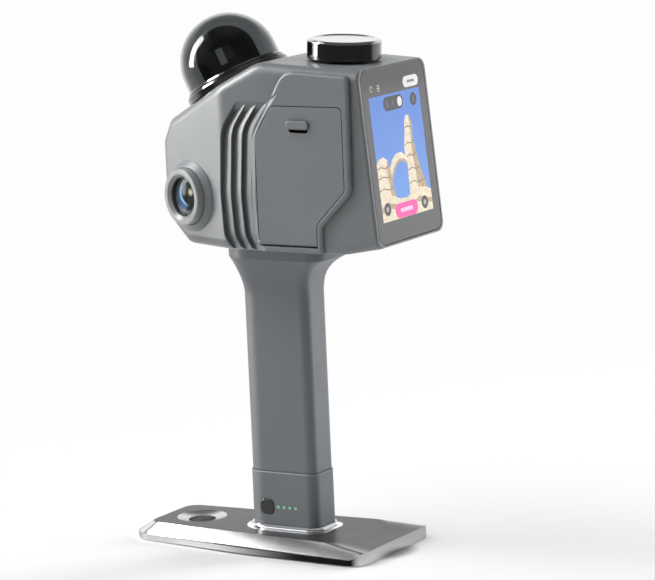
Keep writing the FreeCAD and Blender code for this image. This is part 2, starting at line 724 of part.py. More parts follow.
def build_foot_collar():
    """A flared collar that hugs the foot block."""
    low = plate_top - collar_sink
    body = new_body("foot_collar_body")
    sunk = grip_outline(new_sketch(body, "collar_sunk", "XY_Plane", low), collar_flare * 0.5)
    base = pad(body, "collar_sunk_pad", sunk, collar_sink)
    steps = 4
    sections = []
    for i in range(steps + 1):
        share = i / steps
        sweep = 90 * share
        out = block_grow + skin_gap + 0.8 + (collar_flare - 0.8) * (1 - math.sin(math.radians(sweep)))
        height = plate_top + collar_rise * (1 - math.cos(math.radians(sweep)))
        sections.append(grip_outline(new_sketch(body, f"collar_ring_{i}", "XY_Plane", height), out))
    loft = body.newObject("PartDesign::AdditiveLoft", "collar_flare")
    loft.Profile = sections[0]
    loft.Sections = sections[1:]
    doc.recompute()
    hole = grip_outline(new_sketch(body, "collar_hole", "XY_Plane", low), block_grow + skin_gap)
    pocket(body, "collar_opening", hole, (collar_sink + collar_rise) * 2, back=True)
    return node(body, "foot_collar")


# ---------------------------------------------------------------- battery pack

core_shrink = grip_wall + seat_gap
cells_high = cells_low + cell_length * 2 + seat_gap
face_x = grip_half + block_grow


def build_battery_case():
    body = new_body("battery_case_body")
    foot = grip_outline(new_sketch(body, "block_outline", "XY_Plane", plate_top), block_grow)
    block_pad = pad(body, "block_pad", foot, seam_height - plate_top)
    shoulder = fillet(body, "block_shoulder", block_pad, block_grow * 0.8,
                      lambda e: abs(middle(e).z - seam_height.value) < 0.01 and e.BoundBox.ZLength < 0.01,
                      chamfer=True)
    core = grip_outline(new_sketch(body, "core_outline", "XY_Plane", plate_top), -core_shrink)
    pad(body, "core_pad", core, cells_high - plate_top)
    hollow = grip_outline(new_sketch(body, "core_hollow", "XY_Plane", cells_high), -(core_shrink + pack_wall))
    pocket(body, "core_bay", hollow, cells_high - cells_low)
    # bush hole from below, button well and light holes on the side
    bush = ring(new_sketch(body, "bush_hole", "XY_Plane", plate_top), screw_radius + run_gap + insert_wall)
    pocket(body, "bush_well", bush, screw_length, back=True)
    well = new_sketch(body, "button_well_outline", "YZ_Plane", face_x + 1)
    reach = button_size / 2 + seat_gap
    rounded(well, rounded_box(-button_ahead, button_height, reach, reach, button_round + seat_gap))
    pocket(body, "button_well", well, button_depth + button_travel + seat_gap + 1)
    nest = new_sketch(body, "switch_nest_outline", "YZ_Plane", face_x)
    outline(nest, plain_box(-button_ahead, button_height, switch_half, switch_half))
    pocket(body, "switch_nest", nest, button_depth + button_travel + seat_gap + switch_depth)
    for i in range(4):
        hole = new_sketch(body, f"light_hole_{i}", "YZ_Plane", face_x + 1)
        ring(hole, light_radius, light_pitch * i - light_ahead, light_height)
        pocket(body, f"light_bore_{i}", hole, light_depth + 1)
    return node(body, "battery_case")


def plain_box(u, v, half_u, half_v):
    """Corner points of a box about (u, v)."""
    u, v, half_u, half_v = size(u), size(v), size(half_u), size(half_v)
    return [(u - half_u, v - half_v), (u + half_u, v - half_v), (u + half_u, v + half_v), (u - half_u, v + half_v)]


def rounded_box(u, v, half_u, half_v, radius):
    """Corners of a rounded box about (u, v)."""
    return [(a, b, radius) for a, b in plain_box(u, v, half_u, half_v)]


def build_battery_details():
    cap = new_body("battery_cap_body")
    top = grip_outline(new_sketch(cap, "cap_outline", "XY_Plane", cells_high), -core_shrink)
    pad(cap, "cap_pad", top, cap_height)
    node(cap, "battery_cap")

    places = [cell_radius + run_gap, -(cell_radius + run_gap)]
    middle_y = (grip_back - grip_front - grip_half) / 2
    cells = []
    for i, v in enumerate(places):
        for k in range(2):
            cells.append(cylinder(f"cell_{i}_{k}", cell_radius, cell_length - seat_gap,
                                  0, middle_y + v, cells_low + cell_length * k))
    node(fuse("battery_cells_set", cells), "battery_cells")

    blades = []
    for i in range(4):
        v = middle_y + light_pitch * (i - 1.5)
        blades.append(block(f"blade_{i}", contact_length, contact_width, contact_height,
                            -contact_length / 2, v - contact_width / 2, cells_high + cap_height))
    node(fuse("battery_contacts_set", blades), "battery_contacts")

    lights = []
    for i in range(4):
        lights.append(cylinder(f"light_{i}", light_radius - 0.05, light_depth,
                               face_x - light_depth, light_pitch * i - light_ahead, light_height, Y_AXIS, 90))
    node(fuse("battery_window_set", lights), "battery_window")

    switch_x = face_x - button_depth - button_travel - seat_gap - switch_depth
    node(block("button_switch_block", switch_depth, switch_half * 2, switch_half * 2,
               switch_x, -button_ahead - switch_half, button_height - switch_half), "button_switch")

    key = new_body("battery_button_body")
    face = new_sketch(key, "button_outline", "YZ_Plane", face_x + button_proud)
    rounded(face, rounded_box(-button_ahead, button_height, button_size / 2, button_size / 2, button_round))
    cap_pad = pad(key, "button_pad", face, button_depth + button_proud, back=True)
    fillet(key, "button_edge", cap_pad, button_proud * 2,
           lambda e: e.BoundBox.XLength < 0.01 and abs(middle(e).x - face_x.value - button_proud.value) < 0.01)
    node(key, "battery_button")

    insert_outer = screw_radius + run_gap + insert_wall
    bush = turned("thread_insert_body", [
        (screw_radius + run_gap, plate_top), (insert_outer, plate_top),
        (insert_outer, plate_top + screw_length - seat_gap),
        (screw_radius + run_gap, plate_top + screw_length - seat_gap),
    ])
    node(bush, "thread_insert")


def build_clamp_screw():
    low = foot_drop + seat_gap
    top = low + screw_head_height
    body = turned("clamp_screw_body", [
        (0, low), (screw_head - 0.4, low), (screw_head, low + 0.4), (screw_head, top - 0.4),
        (screw_head - 0.4, top), (screw_radius, top), (screw_radius, top + screw_length - 0.6),
        (screw_radius - 0.6, top + screw_length), (0, top + screw_length),
    ])
    slot = new_sketch(body, "screw_slot", "XY_Plane", low)
    outline(slot, plain_box(0, 0, screw_head * 1.5, 0.8))
    pocket(body, "screw_slot_cut", slot, screw_head_height / 2, back=True)
    return node(body, "clamp_screw")


# ---------------------------------------------------------------- grip

def build_grip():
    body = new_body("grip_body")
    low = seam_height + seat_gap
    tube = grip_outline(new_sketch(body, "tube_outline", "XY_Plane", low), 0)
    pad(body, "tube_pad", tube, neck_start - low)
    climb = head_floor_z - neck_rim - neck_start
    sections = []
    for i, part in enumerate((0, 0.15, 0.3, 0.45, 0.6, 0.72, 0.82, 0.91, 1)):
        ring_face = new_sketch(body, f"neck_ring_{i}", "XY_Plane", neck_start + climb * part)
        sections.append(grip_outline(ring_face, neck_flare * part ** 1.6, neck_back_flare * part ** 3.5))
    flare = body.newObject("PartDesign::AdditiveLoft", "neck_flare_loft")
    flare.Profile = sections[0]
    flare.Sections = sections[1:]
    rim = grip_outline(new_sketch(body, "neck_rim_outline", "XY_Plane", neck_start + climb), neck_flare, neck_back_flare)
    pad(body, "neck_rim_pad", rim, neck_rim)
    hollow = grip_outline(new_sketch(body, "tube_hollow", "XY_Plane", low), -grip_wall)
    pocket(body, "tube_bore", hollow, sleeve_top - low, back=True)
    wire = ring(new_sketch(body, "wire_hole", "XY_Plane", sleeve_top - 1), wire_radius)
    pocket(body, "wire_bore", wire, head_floor_z - sleeve_top + 2, back=True)
    for i, (u, v) in enumerate(neck_screw_places()):
        hole = ring(new_sketch(body, f"neck_hole_{i}", "XY_Plane", head_floor_z), neck_screw_radius, u, v)
        pocket(body, f"neck_bore_{i}", hole, neck_screw_deep)
    node(body, "grip_sleeve")

    top = cells_high + cap_height + contact_height + seat_gap
    seat = new_body("grip_contacts_body")
    face = grip_outline(new_sketch(seat, "contacts_outline", "XY_Plane", top), -(grip_wall + skin_gap))
    pad(seat, "contacts_pad", face, contact_block)
    node(seat, "grip_contacts")


def neck_screw_places():
    half = grip_half + neck_flare - 6
    back = grip_back + neck_back_flare - 6
    return [(half, back), (-half, back), (half, -grip_front), (-half, -grip_front)]


def build_neck_screws():
    screws = []
    for i, (u, v) in enumerate(neck_screw_places()):
        shank = cylinder(f"neck_shank_{i}", neck_screw_radius, neck_screw_deep + floor_depth,
                         u, v, head_floor_z - neck_screw_deep)
        top = cylinder(f"neck_head_{i}", neck_screw_radius * 1.9, neck_screw_radius * 1.2,
                       u, v, head_floor_z + floor_depth)
        screws.append(fuse(f"neck_screw_{i}", [shank, top]))
    node(fuse("neck_screws_set", screws), "neck_screws")


build_base_plate()
build_base_feet()
build_foot_collar()
build_battery_case()
build_battery_details()
build_clamp_screw()
build_grip()
build_neck_screws()


# ---------------------------------------------------------------- head

top_y = (head_top_z - brow_z) / tan(slope_angle) - brow_front
pitch_run = tan(top_pitch)
tilt_run = tan(screen_tilt)
back_top_y = (screen_y - (head_top_z + top_y * pitch_run - screen_z) * tilt_run) / (1 - pitch_run * tilt_run)
back_top_z = head_top_z - (back_top_y - top_y) * pitch_run
back_low_z = head_floor_z + tail_lift
back_low_y = screen_y - (back_low_z - screen_z) * tilt_run
flank_end = (body_half - nose_half) / tan(nose_taper) - nose_front
face_out = body_half + pad_rise
rear_slope = (body_half - rear_half) / (screen_y - rear_taper)


def on_slope(item):
    """Frame of the sensor: +Z out of the slope, +Y up the slope."""
    return place(item, 0, lidar_up * cos(slope_angle) - brow_front, brow_z + lidar_up * sin(slope_angle),
                 X_AXIS, slope_angle)


def on_screen(item):
    """Frame of the screen: +Z out of the glass, +Y down the glass."""
    return place(item, 0, screen_y, screen_z, V(-1, 0, 0), 90 - screen_tilt)


def on_top(item):
    """Frame of the knob: +Z out of the top."""
    return place(item, 0, knob_y, head_top_z - (knob_y - top_y) * pitch_run, V(-1, 0, 0), top_pitch)


def on_flank(item):
    """Frame of the right camera: +X out of the nose flank."""
    return place(item, nose_half + cam_back * sin(nose_taper), cam_back * cos(nose_taper) - nose_front, cam_height,
                 V(0, 0, -1), nose_taper)


def turned_x(name, points):
    """A body of revolution about X from (position, radius) points."""
    body = new_body(name)
    sketch = new_sketch(body, name + "_profile", "XY_Plane")
    outline(sketch, points)
    feature = body.newObject("PartDesign::Revolution", name + "_turn")
    feature.Profile = sketch
    feature.ReferenceAxis = (sketch, ["H_Axis"])
    feature.Angle = 360
    return body


def half_at(y):
    """Half width of the head at a station y."""
    if y < flank_end.value:
        return nose_half.value + (y + nose_front.value) * math.tan(math.radians(nose_taper.value))
    if y < rear_taper.value:
        return body_half.value
    return body_half.value - (y - rear_taper.value) * rear_slope.value


def head_form(name, soft):
    """Side profile padded across, then trimmed to the plan; soft bends for the outside."""
    body = new_body(name)
    side = new_sketch(body, name + "_side", "YZ_Plane")
    bend = profile_round if soft else 0
    crown = top_round if soft else 0
    tail = top_round * 2 if soft else 0
    rounded(side, [
        (-chin_back, head_floor_z, bend), (tail_start, head_floor_z, tail), (back_low_y, back_low_z, 0),
        (back_top_y, back_top_z, 0), (top_y, head_top_z, crown), (-brow_front, brow_z, bend),
        (-nose_front, nose_high_z, bend), (-nose_front, nose_low_z, bend), (-chin_mid, chin_mid_z, bend),
    ])
    blank = pad(body, name + "_blank", side, body_half * 2 + 4, both=True)
    plan = new_sketch(body, name + "_plan", "XY_Plane", head_floor_z - 2)
    lead = nose_front + 6
    tail_y = screen_y + 14
    lead_half = nose_half - tan(nose_taper) * 6
    tail_half = rear_half - rear_slope * 14
    bow = top_round if soft else 0
    outline(plan, [
        (body_half + 8, -(lead + 4)), (body_half + 8, tail_y + 4), (-(body_half + 8), tail_y + 4),
        (-(body_half + 8), -(lead + 4)),
    ])
    rounded(plan, [
        (lead_half, -lead, 0), (body_half, flank_end, bow), (body_half, rear_taper, bow), (tail_half, tail_y, 0),
        (-tail_half, tail_y, 0), (-body_half, rear_taper, bow), (-body_half, flank_end, bow), (-lead_half, -lead, 0),
    ])
    trim = pocket(body, name + "_trim", plan, head_top_z - head_floor_z + 6, back=True)
    if not soft:
        return body

    def on_rim(edge, screen_side):
        spot = middle(edge)
        if abs(abs(spot.x) - half_at(spot.y)) > 1.0:
            return False
        upright = along(edge, Z_AXIS)
        if upright and spot.y > -nose_front.value + 1:
            return False
        at_screen = abs(spot.y - (screen_y.value - (spot.z - screen_z.value) * tilt_run.value)) < 0.3
        return at_screen == screen_side

    rim = fillet(body, name + "_rim", trim, edge_radius, lambda e: on_rim(e, False))
    fillet(body, name + "_screen_rim", rim, screen_edge,
           lambda e: all(abs(v.Point.y - (screen_y.value - (v.Point.z - screen_z.value) * tilt_run.value)) < 0.01
                         for v in e.Vertexes))
    return body


def hatch_outline(sketch, grow, low):
    """The outline of the side cover moved out by grow, with a straight lower edge."""
    grow = size(grow)
    front = hatch_front - grow
    back = hatch_back + grow
    step = hatch_step + grow
    high = hatch_high + grow
    corner = hatch_corner + grow
    return rounded(sketch, [
        (front, low, 0), (step, low, 0), (step, step_low_z - grow * 0.4, step_bend - grow),
        (back, step_high_z - grow * 0.4, step_bend + grow), (back, high, corner),
        (hatch_front + hatch_bevel_y - grow * 0.5, high, corner),
        (front, hatch_high - hatch_bevel_z + grow * 0.34, corner),
    ])


def build_side_pad():
    body = new_body("side_pad")
    face = new_sketch(body, "side_pad_outline", "YZ_Plane", face_out)
    front = hatch_front - pad_margin
    low = head_floor_z + pad_low
    high = head_top_z - pad_drop
    fall = (hatch_back + pad_margin - top_y) * pitch_run
    lean = (high - hatch_high) * hatch_bevel_y / hatch_bevel_z
    rounded(face, [
        (front + 1, low, 0), (hatch_step + pad_margin - 1, low, 0),
        (hatch_step + pad_margin - 0.4, step_low_z - 1, step_bend),
        (hatch_back + pad_margin, step_high_z - 1, step_bend * 2),
        (hatch_back + pad_margin + 0.8, high - fall, hatch_corner),
        (front + hatch_bevel_y + lean, high - fall / 3, hatch_corner * 4),
        (front, hatch_high - hatch_bevel_z - 2, top_round), (front - 0.8, nose_low_z, top_round * 2),
    ])
    slab = pad(body, "side_pad_slab", face, pad_rise + wall, back=True)
    fillet(body, "side_pad_bevel", slab, pad_edge,
           lambda e: e.BoundBox.XLength < 0.01 and abs(middle(e).x - face_out.value) < 0.01)
    return body


def build_grooves():
    """Three stepped channels round the shoulder: upright front wall, long flank that climbs to the next rib."""
    tools = []
    for i in range(3):
        body = new_body(f"groove_{i}")
        start = groove_pitch * i - groove_ahead
        last = i == 2
        climb = groove_pitch * (1.5 if last else 2) * ((face_out + 1 - groove_floor) / (face_out - groove_floor))
        sections = []
        for level, ahead, behind, end in ((groove_floor, groove_width / 2, groove_width / 2, groove_high - groove_fade),
                                          (face_out + 1, groove_width * 1.5, climb, groove_high)):
            face = new_sketch(body, f"groove_outline_{i}_{len(sections)}", "YZ_Plane", level)
            lean = (end - groove_turn) * tan(groove_lean)
            path = [(groove_sweep, head_floor_z - wall * 2, 0), (groove_sweep / 8, chin_mid_z - wall, groove_sweep * 1.4),
                    (-groove_width / 2, nose_low_z + groove_sweep, groove_bow),
                    (groove_width * 3, groove_turn, groove_bend), (groove_width * 3 + lean, end, 0)]
            near = [(start + a - ahead, z, r) for a, z, r in path]
            far = [(start + a + behind, z, r) for a, z, r in reversed(path)]
            sections.append(rounded(face, far + near))
        channel = body.newObject("PartDesign::AdditiveLoft", f"groove_loft_{i}")
        channel.Profile = sections[0]
        channel.Sections = sections[1:]
        channel.Ruled = True
        tools.append(body)
    return tools


def build_head():
    outer = head_form("head_outer", True)
    inner = head_form("head_inner", False)
    hollow = doc.addObject("Part::Offset", "head_hollow")
    hollow.Source = inner
    hollow.Value = -wall.value
    hollow.setExpression("Value", f"0 - {wall.formula}")
    hollow.Join = "Intersection"
    # the hollow leaves the screen frame and the backing of the ribs standing
    frame_depth = glass_depth + seal_depth + wall
    slab = new_body("screen_frame_slab")
    frame_face = new_sketch(slab, "screen_frame_outline", "XY_Plane", 0)
    outline(frame_face, plain_box(0, 0, body_half * 1.5, glass_half_high * 1.5))
    pad(slab, "screen_frame_pad", frame_face, frame_depth, back=True)
    on_screen(slab)
    backing_low = -(groove_ahead + wall)
    backing_run = groove_pitch * 4 + wall * 2
    backing_half = groove_floor - wall
    backing = [
        block("rib_backing_right", body_half, backing_run, head_top_z - head_floor_z,
              backing_half, backing_low, head_floor_z),
        block("rib_backing_left", body_half, backing_run, head_top_z - head_floor_z,
              -(backing_half + body_half), backing_low, head_floor_z),
    ]
    room = cut("head_room", hollow, fuse("head_room_keep", [slab] + backing))

    side_pad = build_side_pad()
    boss = on_flank(turned_x("camera_boss", [
        (-wall, 0), (boss_rise, 0), (boss_rise, cam_radius + 1), (0.4, boss_radius), (-wall, boss_radius),
    ]))
    grown = fuse("head_grown", [outer, side_pad, mirror("side_pad_left", side_pad), boss,
                                mirror("camera_boss_left", boss)])

    cuts = [room]
    grooves = fuse("grooves_right", build_grooves())
    cuts += [grooves, mirror("grooves_left", grooves)]

    # side cover: rabbet, hinge trough, bay
    rabbet = new_body("hatch_rabbet")
    seat = new_sketch(rabbet, "hatch_rabbet_outline", "YZ_Plane", face_out - hatch_depth - seat_gap)
    hatch_outline(seat, hatch_gap, hatch_low - hatch_gap)
    pad(rabbet, "hatch_rabbet_pad", seat, hatch_depth + 4)
    cuts += [rabbet, mirror("cover_rabbet", rabbet)]
    cuts.append(block("hinge_trough", barrel_radius * 2 + hatch_gap + 2, hatch_step - hatch_front + hatch_gap * 2,
                      barrel_radius * 2 + hatch_gap * 2, face_out - barrel_radius * 2 - hatch_gap,
                      hatch_front - hatch_gap, hatch_low - hatch_gap))
    cuts.append(block("bay_opening", bay_depth * 2, bay_back - bay_front, bay_high - bay_low,
                      face_out - bay_depth * 2 + 2, bay_front, bay_low))
    cuts.append(cylinder("pin_hole", pin_radius + run_gap, hatch_step - hatch_front + 4, hinge_x, hatch_step + 2, hinge_z,
                         X_AXIS, 90))

    # screen: seat of glass and seal, window of the panel
    screen = new_body("screen_seat")
    seat_face = new_sketch(screen, "screen_seat_outline", "XY_Plane", 1)
    rounded(seat_face, rounded_box(0, 0, glass_half + skin_gap, glass_half_high + skin_gap, glass_corner + skin_gap))
    pad(screen, "screen_seat_pad", seat_face, glass_depth + seal_depth + 1, back=True)
    window = new_sketch(screen, "panel_window_outline", "XY_Plane", 0)
    outline(window, plain_box(0, 0, panel_half + skin_gap, panel_half_high + skin_gap))
    pad(screen, "panel_window_pad", window, frame_depth + 4, back=True)
    cuts.append(on_screen(screen))

    # sensor, knob, cameras, floor
    cuts.append(on_slope(turned("sensor_hole", [
        (0, -(wall + 2)), (spigot_radius + skin_gap, -(wall + 2)), (spigot_radius + skin_gap, 2), (0, 2),
    ])))
    cuts.append(on_top(turned("knob_hole", [
        (0, -(wall + 2)), (collar_radius + skin_gap, -(wall + 2)), (collar_radius + skin_gap, 2), (0, 2),
    ])))
    eye = on_flank(turned_x("camera_hole", [
        (-(wall + 3), 0), (cam_rise + 2, 0), (cam_rise + 2, cam_radius + skin_gap),
        (boss_rise - 0.8, cam_radius + skin_gap), (boss_rise - 0.8, cam_lens + skin_gap),
        (-(wall + 3), cam_lens + skin_gap),
    ]))
    cuts += [eye, mirror("camera_hole_left", eye)]
    cuts.append(block("floor_opening", (floor_half + skin_gap) * 2, floor_front + floor_back + skin_gap * 2,
                      floor_depth * 2, -(floor_half + skin_gap), -(floor_front + skin_gap),
                      head_floor_z - floor_depth))
    for side in (1, -1):
        for i, (u, v) in enumerate(cover_screw_places()):
            if side < 0:
                cuts.append(cylinder(f"cover_screw_hole_{i}", cover_screw_radius * 0.7, wall * 3,
                                     -face_out + hatch_depth, u, v, Y_AXIS, 90))
    shell = cut("head_shell_solid", grown, fuse("head_cuts", cuts))
    return node(shell, "head_shell")


panel_half = glass_half - seal_width - 1
panel_half_high = glass_half_high - seal_width - 1
spigot_radius = rotor_radius + 4
hinge_x = face_out - barrel_radius
hinge_z = hatch_low + barrel_radius
bay_front = hatch_front + hatch_bevel_y
bay_back = hatch_step - bay_inset / 2
bay_low = hatch_low + barrel_radius * 2 + hatch_gap * 4
bay_high = hatch_high - bay_inset


def cover_screw_places():
    """Screws near the corners of the fixed cover."""
    inset = 5
    return [
        (hatch_front + inset, hatch_low + inset), (hatch_step - inset, hatch_low + inset),
        (hatch_back - inset, hatch_high - inset), (hatch_front + hatch_bevel_y + inset, hatch_high - inset),
    ]


def build_head_floor():
    slab = block("head_floor_slab", floor_half * 2, floor_front + floor_back, floor_depth,
                 -floor_half, -floor_front, head_floor_z)
    holes = [cylinder("floor_wire", wire_radius, floor_depth + 2, 0, 0, head_floor_z - 1)]
    for i, (u, v) in enumerate(neck_screw_places()):
        holes.append(cylinder(f"floor_screw_{i}", neck_screw_radius, floor_depth + 2, u, v, head_floor_z - 1))
    return node(cut("head_floor_solid", slab, fuse("floor_holes", holes)), "head_floor")


# ---------------------------------------------------------------- screen

def build_screen():
    glass = new_body("screen_glass_body")
    face = new_sketch(glass, "glass_outline", "XY_Plane", 0)
    rounded(face, rounded_box(0, 0, glass_half, glass_half_high, glass_corner))
    sheet_pad = pad(glass, "glass_pad", face, glass_depth, back=True)
    fillet(glass, "glass_edge", sheet_pad, glass_depth / 4,
           lambda e: all(abs(v.Point.z) < 0.01 for v in e.Vertexes), chamfer=True)
    node(on_screen(glass), "screen_glass")

    seal = new_body("screen_seal_body")
    ring_face = new_sketch(seal, "seal_outline", "XY_Plane", -glass_depth)
    rounded(ring_face, rounded_box(0, 0, glass_half, glass_half_high, glass_corner))
    outline(ring_face, plain_box(0, 0, glass_half - seal_width, glass_half_high - seal_width))
    pad(seal, "seal_pad", ring_face, seal_depth, back=True)
    node(on_screen(seal), "screen_seal")

    panel = new_body("display_panel_body")
    back = new_sketch(panel, "panel_outline", "XY_Plane", -(glass_depth + panel_gap))
    outline(back, plain_box(0, 0, panel_half, panel_half_high))
    pad(panel, "panel_pad", back, panel_depth, back=True)
    node(on_screen(panel), "display_panel")

    board = new_body("mainboard_body")
    level = -(glass_depth + panel_gap + panel_depth)
    posts = new_sketch(board, "board_posts", "XY_Plane", level)
    for u in (-1, 1):
        for v in (-1, 1):
            ring(posts, 2.5, (board_half - 5) * u, (board_half_high - 5) * v)
    sheet_face = new_sketch(board, "board_outline", "XY_Plane", level - board_drop)
    outline(sheet_face, plain_box(0, 0, board_half, board_half_high))
    pad(board, "board_pad", sheet_face, board_depth, back=True)
    pad(board, "board_post_pad", posts, board_drop, back=True)
    node(on_screen(board), "mainboard")

    sink = new_body("heat_sink_body")
    sink_level = level - board_drop - board_depth
    base = new_sketch(sink, "sink_outline", "XY_Plane", sink_level)
    outline(base, plain_box(0, 0, sink_half, sink_half))
    pad(sink, "sink_pad", base, sink_height, back=True)
    slots = new_sketch(sink, "sink_slots", "XY_Plane", sink_level - sink_height)
    for i in range(6):
        outline(slots, plain_box(sink_half * ((i - 2.5) / 3.2), 0, sink_half * 0.1, sink_half + 1))
    pocket(sink, "sink_slot_cut", slots, sink_height * 0.75, back=True)
    node(on_screen(sink), "heat_sink")


# ---------------------------------------------------------------- distance sensor

def build_sensor():
    bore = dome_radius + skin_gap
    floor_top = 1.5
    lip = bore + 0.7
    seat = turned("lidar_seat_body", [
        (shaft_radius + seat_gap, -wall), (spigot_radius, -wall), (spigot_radius, 0), (seat_radius, 0),
        (seat_radius, seat_height * 0.75), (seat_radius - 0.6, seat_height),
        (seat_radius - 1.8, seat_height + 0.7), (lip + 0.7, seat_height + lip_rise / 2), (lip, seat_height + lip_rise),
        (bore, seat_height + lip_rise), (bore, floor_top), (shaft_radius + seat_gap, floor_top),
    ])
    node(on_slope(seat), "lidar_seat")

    outer = []
    for name, radius, low in (("dome_outer", dome_radius, size(floor_top)),
                              ("dome_inner", dome_radius - dome_wall, floor_top - dome_wall)):
        ball = doc.addObject("Part::Sphere", name + "_ball")
        ball.Radius = radius.value
        ball.setExpression("Radius", radius.formula)
        ball.Angle1 = 0
        place(ball, 0, 0, dome_centre)
        outer.append(fuse(name, [ball, cylinder(name + "_tube", radius, dome_centre - low, 0, 0, low)]))
    node(on_slope(cut("lidar_dome_solid", outer[0], outer[1])), "lidar_dome")

    can_low = -(motor_depth + wall)
    shaft_low = can_low + 2
    bore = shaft_radius + run_gap
    can = turned("lidar_motor_body", [
        (0, can_low), (motor_radius, can_low), (motor_radius, -wall), (bore, -wall), (bore, shaft_low), (0, shaft_low),
    ])
    node(on_slope(can), "lidar_motor")

    # spinning head: shaft, drum and round top, with a window for the mirror
    drum_low = size(floor_top) + 0.9
    crown = dome_centre + 4
    drum = turned("rotor_drum", [
        (0, shaft_low + seat_gap), (shaft_radius, shaft_low + seat_gap), (shaft_radius, drum_low),
        (rotor_radius, drum_low), (rotor_radius, crown), (0, crown),
    ])
    top = doc.addObject("Part::Sphere", "rotor_top")
    top.Radius = rotor_radius.value
    top.setExpression("Radius", rotor_radius.formula)
    top.Angle1 = 0
    place(top, 0, 0, crown)
    pieces = []
    for name, near, half, low, high in (
            ("window_cut", rotor_radius - window_depth, window_half, window_low, window_low + window_length),
            ("window_mirror", rotor_radius - window_depth, window_half - run_gap, window_low + run_gap,
             window_low + window_length - run_gap)):
        body = new_body(name)
        face = new_sketch(body, name + "_outline", "XY_Plane", low)
        far = rotor_radius + 2 if name == "window_cut" else near + mirror_depth
        turned_box(face, near, far, half, window_turn)
        pad(body, name + "_pad", face, high - low)
        pieces.append(body)
    node(on_slope(cut("lidar_rotor_solid", fuse("rotor_blank", [drum, top]), pieces[0])), "lidar_rotor")
    node(on_slope(pieces[1]), "lidar_mirror")


def turned_box(sketch, near, far, half, angle):
    """A box between two distances along a direction turned from +X."""
    corners = []
    for along_it, across in ((near, -half), (far, -half), (far, half), (near, half)):
        corners.append((along_it * cos(angle) - across * sin(angle), along_it * sin(angle) + across * cos(angle)))
    return outline(sketch, corners)


# ---------------------------------------------------------------- side cameras

def build_cameras():
    top = boss_rise + cam_rise
    seat = boss_rise - 0.8
    inner = cam_lens + run_gap
    back = top - 4
    ring_body = on_flank(turned_x("lens_ring_body", [
        (seat, inner), (top - 1.6, inner), (top, cam_lens + 2), (top, cam_radius - 0.6), (top - 0.6, cam_radius),
        (seat, cam_radius),
    ]))
    bulge = cam_lens * 2.4
    ball = doc.addObject("Part::Sphere", "lens_ball")
    ball.Radius = bulge.value
    ball.setExpression("Radius", bulge.formula)
    place(ball, top - 0.5 - bulge, 0, 0)
    disc = cylinder("lens_disc", cam_lens, 4, back, 0, 0, Y_AXIS, 90)
    lens = on_flank(common("lens_body", [ball, disc]))
    barrel = on_flank(turned_x("camera_body", [
        (-(wall + 6), 0), (-(wall + 6), cam_lens * 0.8), (-(wall + 2), cam_lens * 0.8), (-(wall + 2), cam_lens),
        (back, cam_lens), (back, cam_lens * 0.82), (back - 2.5, cam_lens * 0.5), (back - 2.5, 0),
    ]))
    for item, name in ((ring_body, "lens_ring"), (lens, "lens"), (barrel, "camera")):
        node(item, name + "_right")
        node(mirror(name + "_mirrored", item), name + "_left")


# ---------------------------------------------------------------- knob

def build_knob():
    low = knob_gap
    high = knob_gap + knob_height - knob_cap_depth
    bore = shaft_radius + run_gap
    bush_low = -(wall + 1.5)
    collar = turned("knob_collar_body", [
        (bore, bush_low), (collar_radius, bush_low), (collar_radius, 0), (collar_radius + 3, 0),
        (collar_radius + 3, 1), (bore, 1),
    ])
    node(on_top(collar), "knob_collar")
    shaft_low = bush_low - 2.5
    well_low = shaft_low - knob_travel - seat_gap
    encoder = turned("knob_encoder_body", [
        (0, bush_low - encoder_depth), (encoder_radius, bush_low - encoder_depth), (encoder_radius, bush_low),
        (bore, bush_low), (bore, well_low), (0, well_low),
    ])
    node(on_top(encoder), "knob_encoder")
    shaft = turned("knob_shaft_body", [
        (0, shaft_low), (shaft_radius, shaft_low), (shaft_radius, high - seat_gap), (0, high - seat_gap),
    ])
    node(on_top(shaft), "knob_shaft")
    skirt = knob_radius - 3
    rim = 0.5
    body = turned("knob_body_solid", [
        (bore, low + 3), (skirt, low + 3), (skirt, low), (knob_radius - rim, low), (knob_radius, low + rim),
        (knob_radius, high), (bore, high),
    ])
    node(on_top(body), "knob_body")
    top = high + knob_cap_depth
    cap = turned("knob_cap_body", [
        (0, high), (knob_radius, high), (knob_radius, high + 0.3), (knob_radius - 0.5, high + 1),
        (knob_radius - 1.5, top - 0.15), (knob_radius - 2.4, top), (knob_radius - 3.6, top),
        (knob_radius - 5.4, top - knob_dish), (0, top - knob_dish * 1.3),
    ])
    node(on_top(cap), "knob_cap")


# ---------------------------------------------------------------- side cover and bay

